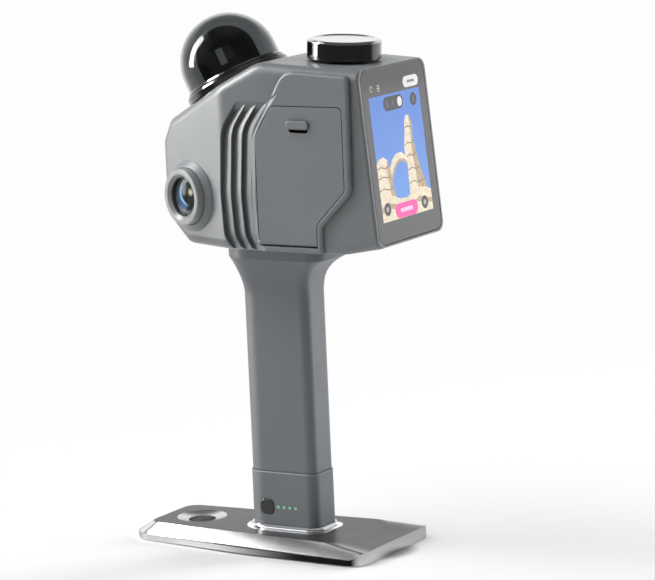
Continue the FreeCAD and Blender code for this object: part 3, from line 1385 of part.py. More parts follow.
def build_hatch():
    plate = new_body("hatch_plate")
    face = new_sketch(plate, "hatch_outline", "YZ_Plane", face_out)
    hatch_outline(face, 0, hinge_z)
    pad(plate, "hatch_plate_pad", face, hatch_depth, back=True)
    slot = new_sketch(plate, "catch_slot", "YZ_Plane", face_out + 1)
    rise = catch_stem / 2
    low = -(rise + catch_travel + seat_gap)
    high = rise + seat_gap
    side = catch_length / 2 - catch_inset + seat_gap
    rounded(slot, [(catch_y - side, catch_z + low, rise), (catch_y + side, catch_z + low, rise),
                   (catch_y + side, catch_z + high, rise), (catch_y - side, catch_z + high, rise)])
    pocket(plate, "catch_slot_cut", slot, hatch_depth + 2)
    run = hatch_step - hatch_front
    barrel = cylinder("hinge_barrel", barrel_radius, run, hinge_x, hatch_step, hinge_z, X_AXIS, 90)
    bore = cylinder("hinge_bore", pin_radius + run_gap, run + 2, hinge_x, hatch_step + 1, hinge_z, X_AXIS, 90)
    node(cut("hatch_right_solid", fuse("hatch_blank", [plate, barrel]), bore), "hatch_right")
    node(cylinder("hatch_pin_rod", pin_radius, run + 4 - seat_gap * 2, hinge_x, hatch_step + 2 - seat_gap, hinge_z,
                  X_AXIS, 90), "hatch_pin")

    # finger catch: pill outside, stem through the slot, keeper inside
    catch = new_body("hatch_catch_body")
    shelf = catch_rise - seat_gap
    pill = new_sketch(catch, "catch_pill", "YZ_Plane", face_out + seat_gap)
    rounded(pill, rounded_box(catch_y, catch_z, catch_length / 2, catch_height / 2, catch_height * 0.48))
    pill_pad = pad(catch, "catch_pill_pad", pill, shelf)
    top_x = face_out.value + catch_rise.value
    fillet(catch, "catch_edge", pill_pad, shelf * 0.45,
           lambda e: e.BoundBox.XLength < 0.01 and abs(middle(e).x - top_x) < 0.01)
    stem_half = catch_length / 2 - catch_inset
    stem = new_sketch(catch, "catch_stem_outline", "YZ_Plane", face_out + seat_gap)
    rounded(stem, rounded_box(catch_y, catch_z, stem_half, rise, rise * 0.9))
    pad(catch, "catch_stem_pad", stem, hatch_depth + seat_gap * 2, back=True)
    keeper = new_sketch(catch, "catch_keeper", "YZ_Plane", face_out - hatch_depth - seat_gap)
    outline(keeper, plain_box(catch_y, catch_z, stem_half - 1, catch_height / 2 + 0.8))
    pad(catch, "catch_keeper_pad", keeper, 1.4, back=True)
    node(catch, "hatch_catch")


def build_service_cover():
    plate = new_body("service_plate")
    face = new_sketch(plate, "service_outline", "YZ_Plane", face_out)
    hatch_outline(face, 0, hatch_low)
    pad(plate, "service_pad", face, hatch_depth + seat_gap, back=True)
    holes = []
    screws = []
    shank = cover_screw_radius * 0.7
    head = cover_screw_radius * 1.6
    sink = hatch_depth * 0.6
    for i, (u, v) in enumerate(cover_screw_places()):
        holes.append(cylinder(f"cover_hole_{i}", shank, hatch_depth * 3, face_out - hatch_depth * 2, u, v, Y_AXIS, 90))
        holes.append(cylinder(f"cover_sink_{i}", head + skin_gap, sink + 1, face_out - sink, u, v, Y_AXIS, 90))
        rod = cylinder(f"cover_rod_{i}", shank - run_gap, wall * 2 + hatch_depth, -(face_out - sink * 0.5), u, v,
                       Y_AXIS, 90)
        top = cylinder(f"cover_top_{i}", head, sink - skin_gap, -(face_out - skin_gap), u, v, Y_AXIS, 90)
        slot = block(f"cover_slot_{i}", 0.8, head * 2, 0.7, -face_out, u - head, v - 0.35)
        screws.append(cut(f"cover_screw_{i}", fuse(f"cover_screw_blank_{i}", [rod, top]), slot))
    cover = mirror("service_cover_solid", cut("service_blank", plate, fuse("cover_holes", holes)))
    node(cover, "service_cover")
    node(fuse("cover_screws_set", screws), "cover_screws")


def build_bay():
    front = bay_front + skin_gap
    back = bay_back - skin_gap
    low = bay_low + skin_gap
    high = bay_high - skin_gap
    mouth = face_out - hatch_depth - seat_gap - 0.5
    floor_x = mouth - bay_depth
    outer = block("tray_outer", bay_depth, back - front, high - low, floor_x, front, low)
    hollow = block("tray_hollow", bay_depth, back - front - bay_wall * 2, high - low - bay_wall * 2,
                   floor_x + bay_wall, front + bay_wall, low + bay_wall)
    node(cut("bay_tray_solid", outer, hollow), "bay_tray")

    # sockets and card slot
    middle_y = (front + back) / 2
    start = floor_x + bay_wall
    depth = bay_depth * 0.5
    ports = new_body("port_block_body")
    face = new_sketch(ports, "port_outline", "YZ_Plane", start)
    base_z = low + bay_wall + port_lift
    tall = port_height
    rounded(face, rounded_box(middle_y, base_z + tall / 2, card_length * 0.7, tall / 2, 2))
    pad(ports, "port_pad", face, depth)
    row_z = [base_z + tall * 0.2, base_z + tall * 0.48, base_z + tall * 0.78]
    socket = new_sketch(ports, "socket_outline", "YZ_Plane", start + depth)
    rounded(socket, rounded_box(middle_y, row_z[0], socket_half, socket_half_high, socket_half_high * 0.94))
    pocket(ports, "socket_cut", socket, depth * 0.6)
    jack = ring(new_sketch(ports, "jack_outline", "YZ_Plane", start + depth), jack_radius, middle_y, row_z[1])
    pocket(ports, "jack_cut", jack, depth * 0.6)
    slot = new_sketch(ports, "card_slot_outline", "YZ_Plane", start + depth)
    outline(slot, plain_box(middle_y, row_z[2], card_length / 2 + run_gap * 2, card_height / 2 + run_gap * 2))
    pocket(ports, "card_slot_cut", slot, depth * 0.8)
    node(ports, "port_block")
    card_x = start + depth * 0.2 + seat_gap
    card = new_body("memory_card_body")
    flat = new_sketch(card, "card_outline", "YZ_Plane", card_x)
    rounded(flat, rounded_box(middle_y, row_z[2], card_length / 2, card_height / 2, card_height * 0.2))
    pad(card, "card_pad", flat, mouth - card_travel + seat_gap - card_x)
    node(card, "memory_card")


build_head()
build_head_floor()
build_screen()
build_sensor()
build_cameras()
build_knob()
build_hatch()
build_service_cover()
build_bay()


# ---------------------------------------------------------------- checks and output

doc.recompute()
problems = []
for item in doc.Objects:
    if "Invalid" in item.State or "Error" in item.State:
        problems.append(f"{item.Label}: {item.State}")
for item in nodes:
    if item.Shape.isNull() or not item.Shape.isValid():
        problems.append(f"{item.Label}: bad shape")
if problems:
    raise RuntimeError("; ".join(problems))
for item in nodes:
    item.Shape.exportStep(f"parts/{item.Label}.step")
print(len(nodes), "pieces")
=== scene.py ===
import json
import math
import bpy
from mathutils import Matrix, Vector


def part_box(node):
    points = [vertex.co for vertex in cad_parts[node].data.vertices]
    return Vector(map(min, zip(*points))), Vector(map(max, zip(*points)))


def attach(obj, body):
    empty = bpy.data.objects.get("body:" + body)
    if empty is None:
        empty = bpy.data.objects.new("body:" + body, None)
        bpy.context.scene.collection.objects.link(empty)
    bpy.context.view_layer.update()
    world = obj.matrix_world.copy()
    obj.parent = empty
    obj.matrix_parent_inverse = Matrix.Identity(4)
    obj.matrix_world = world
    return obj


bl_info = {
    "name": "Handheld Scanner Finisher",
    "version": (1, 0, 0),
    "blender": (4, 5, 0),
    "location": "View3D > Sidebar > Scanner",
    "description": "Finishes a handheld spatial scanner that stands on its desk base",
    "category": "Object",
}

import bmesh
import bpy
from bpy.props import FloatProperty, FloatVectorProperty, PointerProperty
from mathutils import Matrix, Vector

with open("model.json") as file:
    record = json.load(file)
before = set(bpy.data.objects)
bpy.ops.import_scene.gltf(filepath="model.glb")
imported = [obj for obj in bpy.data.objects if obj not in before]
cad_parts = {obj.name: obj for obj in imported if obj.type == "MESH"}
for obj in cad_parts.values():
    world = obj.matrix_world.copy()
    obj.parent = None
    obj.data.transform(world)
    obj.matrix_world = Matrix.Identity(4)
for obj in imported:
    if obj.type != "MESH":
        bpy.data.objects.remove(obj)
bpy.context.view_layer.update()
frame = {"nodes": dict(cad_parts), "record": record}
MM = 0.001
TINY = 1e-6


# ---------------------------------------------------------------- settings

def color_property(name, description, default):
    """A colour that the user can change."""
    return FloatVectorProperty(name=name, description=description, default=default, size=3, min=0, max=1,
                               subtype="COLOR")


class ScannerShellSettings(bpy.types.PropertyGroup):
    shell_color: color_property("Shell", "Colour of the head moulding", (0.205, 0.218, 0.226))
    cover_color: color_property("Covers", "Colour of the side covers", (0.200, 0.212, 0.222))
    grip_color: color_property("Grip", "Colour of the grip and battery pack", (0.165, 0.177, 0.190))
    grain_size: FloatProperty(name="Grain", description="Size of the moulded grain", default=0.0006,
                              min=0.0001, subtype="DISTANCE", unit="LENGTH")
    wear_width: FloatProperty(name="Edge wear", description="Width of the rubbed edges", default=0.0007,
                              min=0.0, subtype="DISTANCE", unit="LENGTH")


class ScannerStandSettings(bpy.types.PropertyGroup):
    metal_color: color_property("Bevels", "Colour of the polished bevels of the plate", (0.80, 0.805, 0.81))
    flat_color: color_property("Flat top", "Colour of the satin top of the plate", (0.21, 0.213, 0.216))
    wall_reflection_color: color_property("Wall reflection", "Colour of the painted dark reflection on the side walls of the plate",
                               (0.012, 0.012, 0.013))
    chrome_color: color_property("Chrome", "Colour of the collar and the knob cap", (0.78, 0.79, 0.80))


class ScannerGlassSettings(bpy.types.PropertyGroup):
    dome_color: color_property("Dome", "Tint of the sensor dome", (0.24, 0.25, 0.255))
    crescent_reflection_color: color_property("Lens crescent reflection", "Colour of the painted crescent reflection on the lens", (0.012, 0.060, 0.170))
    arc_reflection_color: color_property("Lens arc", "Colour of the painted reflection arc on the lens", (0.30, 0.46, 0.50))
    glint_reflection_color: color_property("Lens glint", "Colour of the painted inner glint", (0.36, 0.33, 0.19))
    black_color: color_property("Gloss black", "Colour of the lacquered pieces", (0.006, 0.006, 0.007))


class ScannerScreenSettings(bpy.types.PropertyGroup):
    sky_high: color_property("Sky, high", "Upper colour of the picture", (0.055, 0.175, 0.61))
    sky_low: color_property("Sky, low", "Lower colour of the picture", (0.125, 0.33, 0.78))
    ground_color: color_property("Rock", "Colour of the rock and the dunes", (0.78, 0.67, 0.50))
    shade_color: color_property("Rock shade", "Colour of the shaded rock", (0.50, 0.37, 0.23))
    accent_color: color_property("Button", "Colour of the main touch button", (0.87, 0.045, 0.34))
    bezel_color: color_property("Bezel", "Colour of the printed border of the glass", (0.048, 0.047, 0.051))


class ScannerStageSettings(bpy.types.PropertyGroup):
    floor_color: color_property("Floor", "Colour of the floor", (0.90, 0.90, 0.90))
    key_power: FloatProperty(name="Key", description="Power of the light before the nose in watts",
                             default=25.5, min=0.0)
    back_power: FloatProperty(name="Back", description="Power of the light beyond the fixed cover in watts",
                              default=54.0, min=0.0)
    side_power: FloatProperty(name="Side", description="Power of the light above the hatch side in watts",
                              default=16.0, min=0.0)
    strip_power: FloatProperty(name="Strip", description="Power of the tall light that gloss mirrors",
                               default=119.0, min=0.0)
    top_power: FloatProperty(name="Top", description="Power of the small light that gloss mirrors",
                             default=0.77, min=0.0)
    ambient: FloatProperty(name="Ambient", description="Strength of the even light all round",
                           default=0.12, min=0.0)
    room: FloatProperty(name="Room", description="Brightness of the room that gloss mirrors",
                        default=0.15, min=0.0)
    walls: FloatProperty(name="Walls", description="Brightness of the walls that gloss mirrors",
                         default=0.4, min=0.0)
    backdrop: FloatProperty(name="Backdrop", description="Brightness of the backdrop that gloss mirrors",
                            default=1.25, min=0.0)
    lens: FloatProperty(name="Lens", description="Focal length of the camera", default=192.14, min=10.0,
                        unit="CAMERA")


# ---------------------------------------------------------------- node helpers

def link(tree, source, target):
    """Joins an output to a socket."""
    tree.links.new(source, target)


def feed(tree, value, socket):
    """Sets a number on a socket, or links another node's output to it."""
    if isinstance(value, (int, float)):
        socket.default_value = value
    else:
        link(tree, value, socket)


def new_group(name, inputs, outputs):
    """An empty shader group: inputs as (name, kind, default), outputs as (name, kind)."""
    tree = bpy.data.node_groups.new(name, "ShaderNodeTree")
    for label, kind, default in inputs:
        socket = tree.interface.new_socket(label, in_out="INPUT", socket_type=kind)
        socket.default_value = default
    for label, kind in outputs:
        tree.interface.new_socket(label, in_out="OUTPUT", socket_type=kind)
    return tree, tree.nodes.new("NodeGroupInput"), tree.nodes.new("NodeGroupOutput")


def math_node(tree, operation, *values, clamp=False):
    """One sum, product or the like of numbers and outputs."""
    node = tree.nodes.new("ShaderNodeMath")
    node.operation = operation
    node.use_clamp = clamp
    for socket, value in zip(node.inputs, values):
        feed(tree, value, socket)
    return node.outputs[0]


def vector_node(tree, operation, vector, other, output):
    """One vector sum or product; its other side is three numbers or an output."""
    node = tree.nodes.new("ShaderNodeVectorMath")
    node.operation = operation
    link(tree, vector, node.inputs[0])
    if isinstance(other, tuple):
        node.inputs[1].default_value = other
    else:
        link(tree, other, node.inputs[1])
    return node.outputs[output]


def distance_from(tree, place, point):
    """How far a place lies from a point."""
    return vector_node(tree, "DISTANCE", place, point, "Value")


def along(tree, place, way):
    """How far a place lies along a direction."""
    return vector_node(tree, "DOT_PRODUCT", place, way, "Value")


def object_place(tree):
    """Places in the object's own frame, in metres."""
    return tree.nodes.new("ShaderNodeTexCoord").outputs["Object"]


def parts_of(tree, vector):
    """The X, Y and Z of a vector, by name."""
    node = tree.nodes.new("ShaderNodeSeparateXYZ")
    link(tree, vector, node.inputs[0])
    return node.outputs


def remap(tree, value, low, high, to_low=0.0, to_high=1.0, smooth=True):
    """Carries a value from the range low to high over to another range, and stops at its ends."""
    node = tree.nodes.new("ShaderNodeMapRange")
    if smooth:
        node.interpolation_type = "SMOOTHSTEP"
    link(tree, value, node.inputs["Value"])
    for key, item in (("From Min", low), ("From Max", high), ("To Min", to_low), ("To Max", to_high)):
        feed(tree, item, node.inputs[key])
    return node.outputs["Result"]


def noise(tree, vector, scale, detail=3.0, rough=0.55):
    """Cloudy noise, 0 to 1."""
    node = tree.nodes.new("ShaderNodeTexNoise")
    link(tree, vector, node.inputs["Vector"])
    feed(tree, scale, node.inputs["Scale"])
    node.inputs["Detail"].default_value = detail
    node.inputs["Roughness"].default_value = rough
    return node.outputs["Fac"]


def mix_color(tree, factor, first, second):
    """First colour at factor 0, second colour at factor 1."""
    node = tree.nodes.new("ShaderNodeMix")
    node.data_type = "RGBA"
    link(tree, factor, node.inputs[0])
    for key, value in ((6, first), (7, second)):
        if hasattr(value, "__len__"):
            node.inputs[key].default_value = opaque(value)
        else:
            link(tree, value, node.inputs[key])
    return node.outputs[2]


def blend(tree, first, first_share, second, second_share):
    """Sum of two values, each with its share."""
    return math_node(tree, "ADD", math_node(tree, "MULTIPLY", first, first_share),
                     math_node(tree, "MULTIPLY", second, second_share))


def choose(tree, factor, first, second):
    """First number at factor 0, second value at factor 1."""
    node = tree.nodes.new("ShaderNodeMix")
    link(tree, factor, node.inputs[0])
    node.inputs[2].default_value = first
    link(tree, second, node.inputs[3])
    return node.outputs[0]


def shade(color, share):
    """The colour at a share of its brightness."""
    return tuple(min(1.0, c * share) for c in color)


def opaque(color):
    """The colour with the fourth number that a colour socket takes."""
    return tuple(color) + (1.0,)


# ---------------------------------------------------------------- shader groups

CAVITY_REACH = 0.005


def build_grain_group():
    """Fine moulded texture: a height for bump and a soft tone."""
    tree, given, out = new_group("Moulded Grain", [("Size", "NodeSocketFloat", 0.0006)],
                                 [("Height", "NodeSocketFloat"), ("Tone", "NodeSocketFloat")])
    place = object_place(tree)
    scale = math_node(tree, "DIVIDE", 1.0, given.outputs["Size"])
    fine = noise(tree, place, scale, detail=2.0, rough=0.6)
    cells = tree.nodes.new("ShaderNodeTexVoronoi")
    cells.feature = "SMOOTH_F1"
    link(tree, place, cells.inputs["Vector"])
    link(tree, scale, cells.inputs["Scale"])
    height = blend(tree, fine, 0.6, cells.outputs["Distance"], 0.5)
    link(tree, height, out.inputs["Height"])
    broad = noise(tree, place, 28.0, detail=4.0, rough=0.6)
    link(tree, blend(tree, broad, 0.6, fine, 0.4), out.inputs["Tone"])


def build_edge_group():
    """Mask of rubbed edges, broken up by noise, and the normal rounded over them."""
    tree, given, out = new_group("Rubbed Edges", [("Width", "NodeSocketFloat", 0.0007)],
                                 [("Mask", "NodeSocketFloat"), ("Normal", "NodeSocketVector")])
    soft = tree.nodes.new("ShaderNodeBevel")
    soft.samples = 4
    link(tree, given.outputs["Width"], soft.inputs["Radius"])
    flat = tree.nodes.new("ShaderNodeNewGeometry").outputs["Normal"]
    agreement = along(tree, soft.outputs["Normal"], flat)
    edge = remap(tree, agreement, 0.998, 0.90)
    patches = noise(tree, object_place(tree), 160.0, detail=4.0, rough=0.65)
    broken = remap(tree, patches, 0.35, 0.65, to_low=0.25)
    link(tree, math_node(tree, "MULTIPLY", edge, broken, clamp=True), out.inputs["Mask"])
    link(tree, soft.outputs["Normal"], out.inputs["Normal"])


def build_cavity_shade_group():
    """Mask of painted shade in grooves and seams, where light hardly comes."""
    tree, given, out = new_group("Cavities", [("Reach", "NodeSocketFloat", CAVITY_REACH)],
                                 [("Mask", "NodeSocketFloat")])
    near = tree.nodes.new("ShaderNodeAmbientOcclusion")
    near.samples = 8
    link(tree, given.outputs["Reach"], near.inputs["Distance"])
    link(tree, remap(tree, near.outputs["AO"], 0.85, 0.35), out.inputs["Mask"])


def build_smudge_group():
    """Roughness that wanders with handling and wiping marks."""
    tree, given, out = new_group("Handling Marks",
                                 [("Roughness", "NodeSocketFloat", 0.4), ("Amount", "NodeSocketFloat", 0.06)],
                                 [("Roughness", "NodeSocketFloat"), ("Mask", "NodeSocketFloat")])
    place = object_place(tree)
    large = noise(tree, place, 22.0, rough=0.5)
    small = noise(tree, place, 210.0, detail=2.0, rough=0.5)
    mask = remap(tree, blend(tree, large, 0.7, small, 0.3), 0.3, 0.7)
    shift = math_node(tree, "MULTIPLY", math_node(tree, "SUBTRACT", mask, 0.5), given.outputs["Amount"])
    link(tree, math_node(tree, "ADD", given.outputs["Roughness"], shift, clamp=True), out.inputs["Roughness"])
    link(tree, mask, out.inputs["Mask"])


def build_polish_group():
    """Lines and clouds of machine polishing along a direction."""
    tree, given, out = new_group("Polish Lines",
                                 [("Stretch", "NodeSocketVector", (60.0, 4.0, 60.0))],
                                 [("Height", "NodeSocketFloat"), ("Cloud", "NodeSocketFloat")])
    place = object_place(tree)
    drawn = vector_node(tree, "MULTIPLY", place, given.outputs["Stretch"], "Vector")
    link(tree, noise(tree, drawn, 30.0, rough=0.7), out.inputs["Height"])
    link(tree, noise(tree, place, 34.0, detail=5.0, rough=0.62), out.inputs["Cloud"])


GROUP_BUILDERS = {
    "Moulded Grain": build_grain_group,
    "Rubbed Edges": build_edge_group,
    "Handling Marks": build_smudge_group,
    "Polish Lines": build_polish_group,
    "Cavities": build_cavity_shade_group,
}


def use_group(tree, name, **values):
    """Places a shader group, which is built at its first use, with values of its own."""
    if name not in bpy.data.node_groups:
        GROUP_BUILDERS[name]()
    node = tree.nodes.new("ShaderNodeGroup")
    node.node_tree = bpy.data.node_groups[name]
    for key, value in values.items():
        node.inputs[key].default_value = value
    return node


# ---------------------------------------------------------------- finishes

def new_material(name, **sockets):
    """A material with its shader, and numbers for the shader's own sockets."""
    material = bpy.data.materials.new(name)
    material.use_nodes = True
    tree = material.node_tree
    shader = tree.nodes["Principled BSDF"]
    for key, value in sockets.items():
        shader.inputs[key.replace("_", " ")].default_value = value
    return material, tree, shader


def bump(tree, shader, height, strength, distance, normal=None):
    """Fine relief on the shader's normal."""
    node = tree.nodes.new("ShaderNodeBump")
    if normal is not None:
        link(tree, normal, node.inputs["Normal"])
    node.inputs["Strength"].default_value = strength
    node.inputs["Distance"].default_value = distance
    link(tree, height, node.inputs["Height"])
    link(tree, node.outputs["Normal"], shader.inputs["Normal"])


def moulded_plastic(name, color, roughness=0.42, grain=0.0006, depth=0.00003, wear=0.0007, worn=1.45,
                    sheen=0.45):
    """Grained, slightly worn plastic, with painted shade that darkens its grooves and seams."""
    material, tree, shader = new_material(name, Specular_IOR_Level=sheen)
    texture = use_group(tree, "Moulded Grain", Size=grain)
    edges = use_group(tree, "Rubbed Edges", Width=wear)
    cavity = use_group(tree, "Cavities", Reach=CAVITY_REACH)
    marks = use_group(tree, "Handling Marks", Roughness=roughness, Amount=0.10)
    toned = mix_color(tree, texture.outputs["Tone"], shade(color, 0.93), shade(color, 1.07))
    rubbed = math_node(tree, "MULTIPLY", edges.outputs["Mask"], 0.55)
    toned = mix_color(tree, rubbed, toned, shade(color, worn))
    # painted shade: the base colour darkens where ambient occlusion finds grooves and seams
    painted_cavity_shade = math_node(tree, "MULTIPLY", cavity.outputs["Mask"], 0.75)
    link(tree, mix_color(tree, painted_cavity_shade, toned, shade(color, 0.15)), shader.inputs["Base Color"])
    link(tree, marks.outputs["Roughness"], shader.inputs["Roughness"])
    bump(tree, shader, texture.outputs["Height"], strength=0.35, distance=depth,
         normal=edges.outputs["Normal"])
    return material


def polished_metal(name, color, roughness=0.16, stretch=(60.0, 4.0, 60.0), cloud=0.10, wear=0.0004):
    """Polished metal with faint lines and clouds."""
    material, tree, shader = new_material(name, Metallic=1.0)
    lines = use_group(tree, "Polish Lines", Stretch=stretch)
    edges = use_group(tree, "Rubbed Edges", Width=wear)
    marks = use_group(tree, "Handling Marks", Roughness=roughness, Amount=0.07)
    toned = mix_color(tree, lines.outputs["Cloud"], shade(color, 1 - cloud), shade(color, 1 + cloud))
    rubbed = math_node(tree, "MULTIPLY", edges.outputs["Mask"], 0.5)
    link(tree, mix_color(tree, rubbed, toned, shade(color, 1.25)), shader.inputs["Base Color"])
    link(tree, marks.outputs["Roughness"], shader.inputs["Roughness"])
    bump(tree, shader, lines.outputs["Height"], strength=0.12, distance=0.00002)
    return material


def plate_metal(name, settings):
    """Satin top and mirror bevels; the long side walls carry a painted dark reflection and shadow towards the
    screen end.
    """
    material, tree, shader = new_material(name, Metallic=1.0, Specular_Tint=(0.62, 0.62, 0.63, 1.0))
    lines = use_group(tree, "Polish Lines", Stretch=(50.0, 6.0, 50.0))
    marks = use_group(tree, "Handling Marks", Roughness=0.19, Amount=0.06)
    facing = parts_of(tree, tree.nodes.new("ShaderNodeNewGeometry").outputs["Normal"])
    level = remap(tree, facing["Z"], 0.985, 0.998)
    upright = remap(tree, math_node(tree, "ABSOLUTE", facing["Z"]), 0.35, 0.15)
    sideways = remap(tree, math_node(tree, "ABSOLUTE", facing["Y"]), 0.75, 0.35)
    # painted reflection and shadow: the long side walls turn near black towards the screen end
    painted_reflection_band = remap(tree, parts_of(tree, object_place(tree))["Y"], -0.055, 0.030)
    cloud = lines.outputs["Cloud"]
    bevel = mix_color(tree, cloud, shade(settings.metal_color, 0.94), shade(settings.metal_color, 1.05))
    flat = mix_color(tree, cloud, shade(settings.flat_color, 0.88), shade(settings.flat_color, 1.08))
    painted_wall_reflection = math_node(tree, "MULTIPLY", math_node(tree, "MULTIPLY", upright, painted_reflection_band), sideways)
    link(tree, mix_color(tree, painted_wall_reflection, mix_color(tree, level, bevel, flat), settings.wall_reflection_color),
         shader.inputs["Base Color"])
    satin = math_node(tree, "MULTIPLY", level, 0.16)
    link(tree, math_node(tree, "ADD", marks.outputs["Roughness"], satin, clamp=True),
         shader.inputs["Roughness"])
    bump(tree, shader, lines.outputs["Height"], strength=0.10, distance=0.00002)
    return material


def gloss_lacquer(name, color, roughness=0.08, dust=0.004):
    """Deep gloss with faint dust and wiping marks."""
    material, tree, shader = new_material(name, Coat_Weight=0.6, Coat_Roughness=0.03, Specular_IOR_Level=0.6)
    marks = use_group(tree, "Handling Marks", Roughness=roughness, Amount=0.08)
    texture = use_group(tree, "Moulded Grain", Size=0.0011)
    specks = remap(tree, texture.outputs["Tone"], 0.60, 0.72)
    link(tree, mix_color(tree, specks, color, tuple(c + dust for c in color)), shader.inputs["Base Color"])
    link(tree, marks.outputs["Roughness"], shader.inputs["Roughness"])
    bump(tree, shader, texture.outputs["Height"], strength=0.03, distance=0.00001)
    return material


def clear_glass(name, color, ior, roughness=0.02, painted_rim=0.0):
    """Tinted clear moulding with faint wiping marks; towards its outline it can carry a painted paler band
    and then a painted dark edge.
    """
    material, tree, shader = new_material(name, Transmission_Weight=1.0, IOR=ior)
    marks = use_group(tree, "Handling Marks", Roughness=roughness, Amount=0.03)
    toned = mix_color(tree, marks.outputs["Mask"], shade(color, 0.95), color)
    if painted_rim:
        # painted reflection: the tint pales, then goes dark, as the surface turns away from view
        edge = tree.nodes.new("ShaderNodeLayerWeight")
        edge.inputs["Blend"].default_value = 0.5
        facing = edge.outputs["Facing"]
        toned = mix_color(tree, remap(tree, facing, 0.58, 0.80), toned, shade(color, 1.0 + painted_rim))
        toned = mix_color(tree, remap(tree, facing, 0.86, 0.96), toned, shade(color, 0.12))
    link(tree, toned, shader.inputs["Base Color"])
    link(tree, marks.outputs["Roughness"], shader.inputs["Roughness"])
    return material


LENS_BLACK = (0.004, 0.005, 0.006)
# centres of the painted reflections on the lens's flat map, -1 to 1 across
CRESCENT_REFLECTION_CENTRE = (0.20, 0.23, 0.0)
GLINT_REFLECTION_CENTRE = (0.34, 0.24, 0.0)


def lens_with_painted_reflections(name, settings):
    """Dark lens with a painted coloured crescent reflection, a painted thin bright arc of reflection and a
    painted warm inner glint, all glowing a little.
    """
    material, tree, shader = new_material(name, Specular_IOR_Level=0.03, Emission_Strength=0.45)
    place = tree.nodes.new("ShaderNodeUVMap").outputs["UV"]
    across = parts_of(tree, place)["X"]
    # painted reflections: the crescent, the arc and the glint are colours laid into the element, and its
    # emission makes them glow
    ring = distance_from(tree, place, CRESCENT_REFLECTION_CENTRE)
    thin_ring = math_node(tree, "MULTIPLY", remap(tree, ring, 0.60, 0.70), remap(tree, ring, 0.80, 0.71))
    arc = math_node(tree, "MULTIPLY", thin_ring, remap(tree, across, 0.25, -0.35))
    crescent = math_node(tree, "MULTIPLY", remap(tree, ring, 0.68, 0.82), remap(tree, across, 0.2, -0.35))
    glint = remap(tree, distance_from(tree, place, GLINT_REFLECTION_CENTRE), 0.26, 0.04)
    marks = use_group(tree, "Handling Marks", Roughness=0.1, Amount=0.05)
    color = mix_color(tree, glint, LENS_BLACK, settings.glint_reflection_color)
    color = mix_color(tree, crescent, color, settings.crescent_reflection_color)
    color = mix_color(tree, arc, color, settings.arc_reflection_color)
    link(tree, color, shader.inputs["Base Color"])
    link(tree, color, shader.inputs["Emission Color"])
    link(tree, marks.outputs["Roughness"], shader.inputs["Roughness"])
    return material


def lit_material(name, color, strength, gloss=True):
    """A lit area, under glossy glass or bare."""
    material, tree, shader = new_material(name, Emission_Strength=strength,
                                          Base_Color=opaque(shade(color, 0.15)))
    marks = use_group(tree, "Handling Marks", Roughness=0.12, Amount=0.08)
    tone = mix_color(tree, marks.outputs["Mask"], shade(color, 0.96), color)
    link(tree, tone, shader.inputs["Emission Color"])
    link(tree, marks.outputs["Roughness"], shader.inputs["Roughness"])
    if gloss:
        shader.inputs["Coat Weight"].default_value = 0.7
        shader.inputs["Coat Roughness"].default_value = 0.04
    return material


UNDER_GLASS = {"Roughness": 0.2, "Coat_Weight": 0.6, "Coat_Roughness": 0.05}


def sky_material(name, settings):
    """Lit sky that pales towards the ground, with faint haze."""
    material, tree, shader = new_material(name, Emission_Strength=0.95, Base_Color=(0.01, 0.02, 0.06, 1.0),
                                          **UNDER_GLASS)
    place = object_place(tree)
    height = remap(tree, parts_of(tree, place)["Z"], GLASS_LOW.z, GLASS_HIGH.z, smooth=False)
    clouds = math_node(tree, "SUBTRACT", noise(tree, place, 55.0, detail=4.0), 0.5)
    haze = math_node(tree, "MULTIPLY", clouds, 0.25)
    color = mix_color(tree, math_node(tree, "ADD", height, haze, clamp=True), settings.sky_low,
                      settings.sky_high)
    link(tree, color, shader.inputs["Emission Color"])
    return material


def rock_material(name, color, strength):
    """Lit, mottled shape of the picture."""
    material, tree, shader = new_material(name, Emission_Strength=strength,
                                          Base_Color=opaque(shade(color, 0.1)), **UNDER_GLASS)
    mottle = noise(tree, object_place(tree), 420.0, detail=4.0, rough=0.65)
    toned = mix_color(tree, remap(tree, mottle, 0.3, 0.7), shade(color, 0.78), shade(color, 1.12))
    link(tree, toned, shader.inputs["Emission Color"])
    return material


def paint(material, *nodes):
    """Gives the named pieces of the model their finish."""
    for node in nodes:
        materials = frame["nodes"][node].data.materials
        materials.clear()
        materials.append(material)


# ---------------------------------------------------------------- small builders

def frame_of(x, y, z, origin):
    """Matrix with the given axes at the origin."""
    matrix = Matrix((x, y, z)).transposed().to_4x4()
    matrix.translation = Vector(origin)
    return matrix


def axis_frame(origin, normal, up=(0, 0, 1)):
    """Frame at the origin with +Z along the normal and +X square to the up direction."""
    z = Vector(normal).normalized()
    x = Vector(up).cross(z).normalized()
    return frame_of(x, z.cross(x), z, origin)


SHARP_ANGLE = math.radians(35)


def finish_piece(name, fill_mesh, material, body, smooth=True):
    """Makes a piece whose mesh another function fills, and lets it ride on its body."""
    mesh = bpy.data.meshes.new(name)
    work = bmesh.new()
    fill_mesh(work)
    bmesh.ops.recalc_face_normals(work, faces=work.faces)
    work.to_mesh(mesh)
    work.free()
    if smooth:
        for face in mesh.polygons:
            face.use_smooth = True
        mesh.set_sharp_from_angle(angle=SHARP_ANGLE)
    item = bpy.data.objects.new(name, mesh)
    bpy.context.scene.collection.objects.link(item)
    mesh.materials.append(material)
    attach(item, body)
    return item


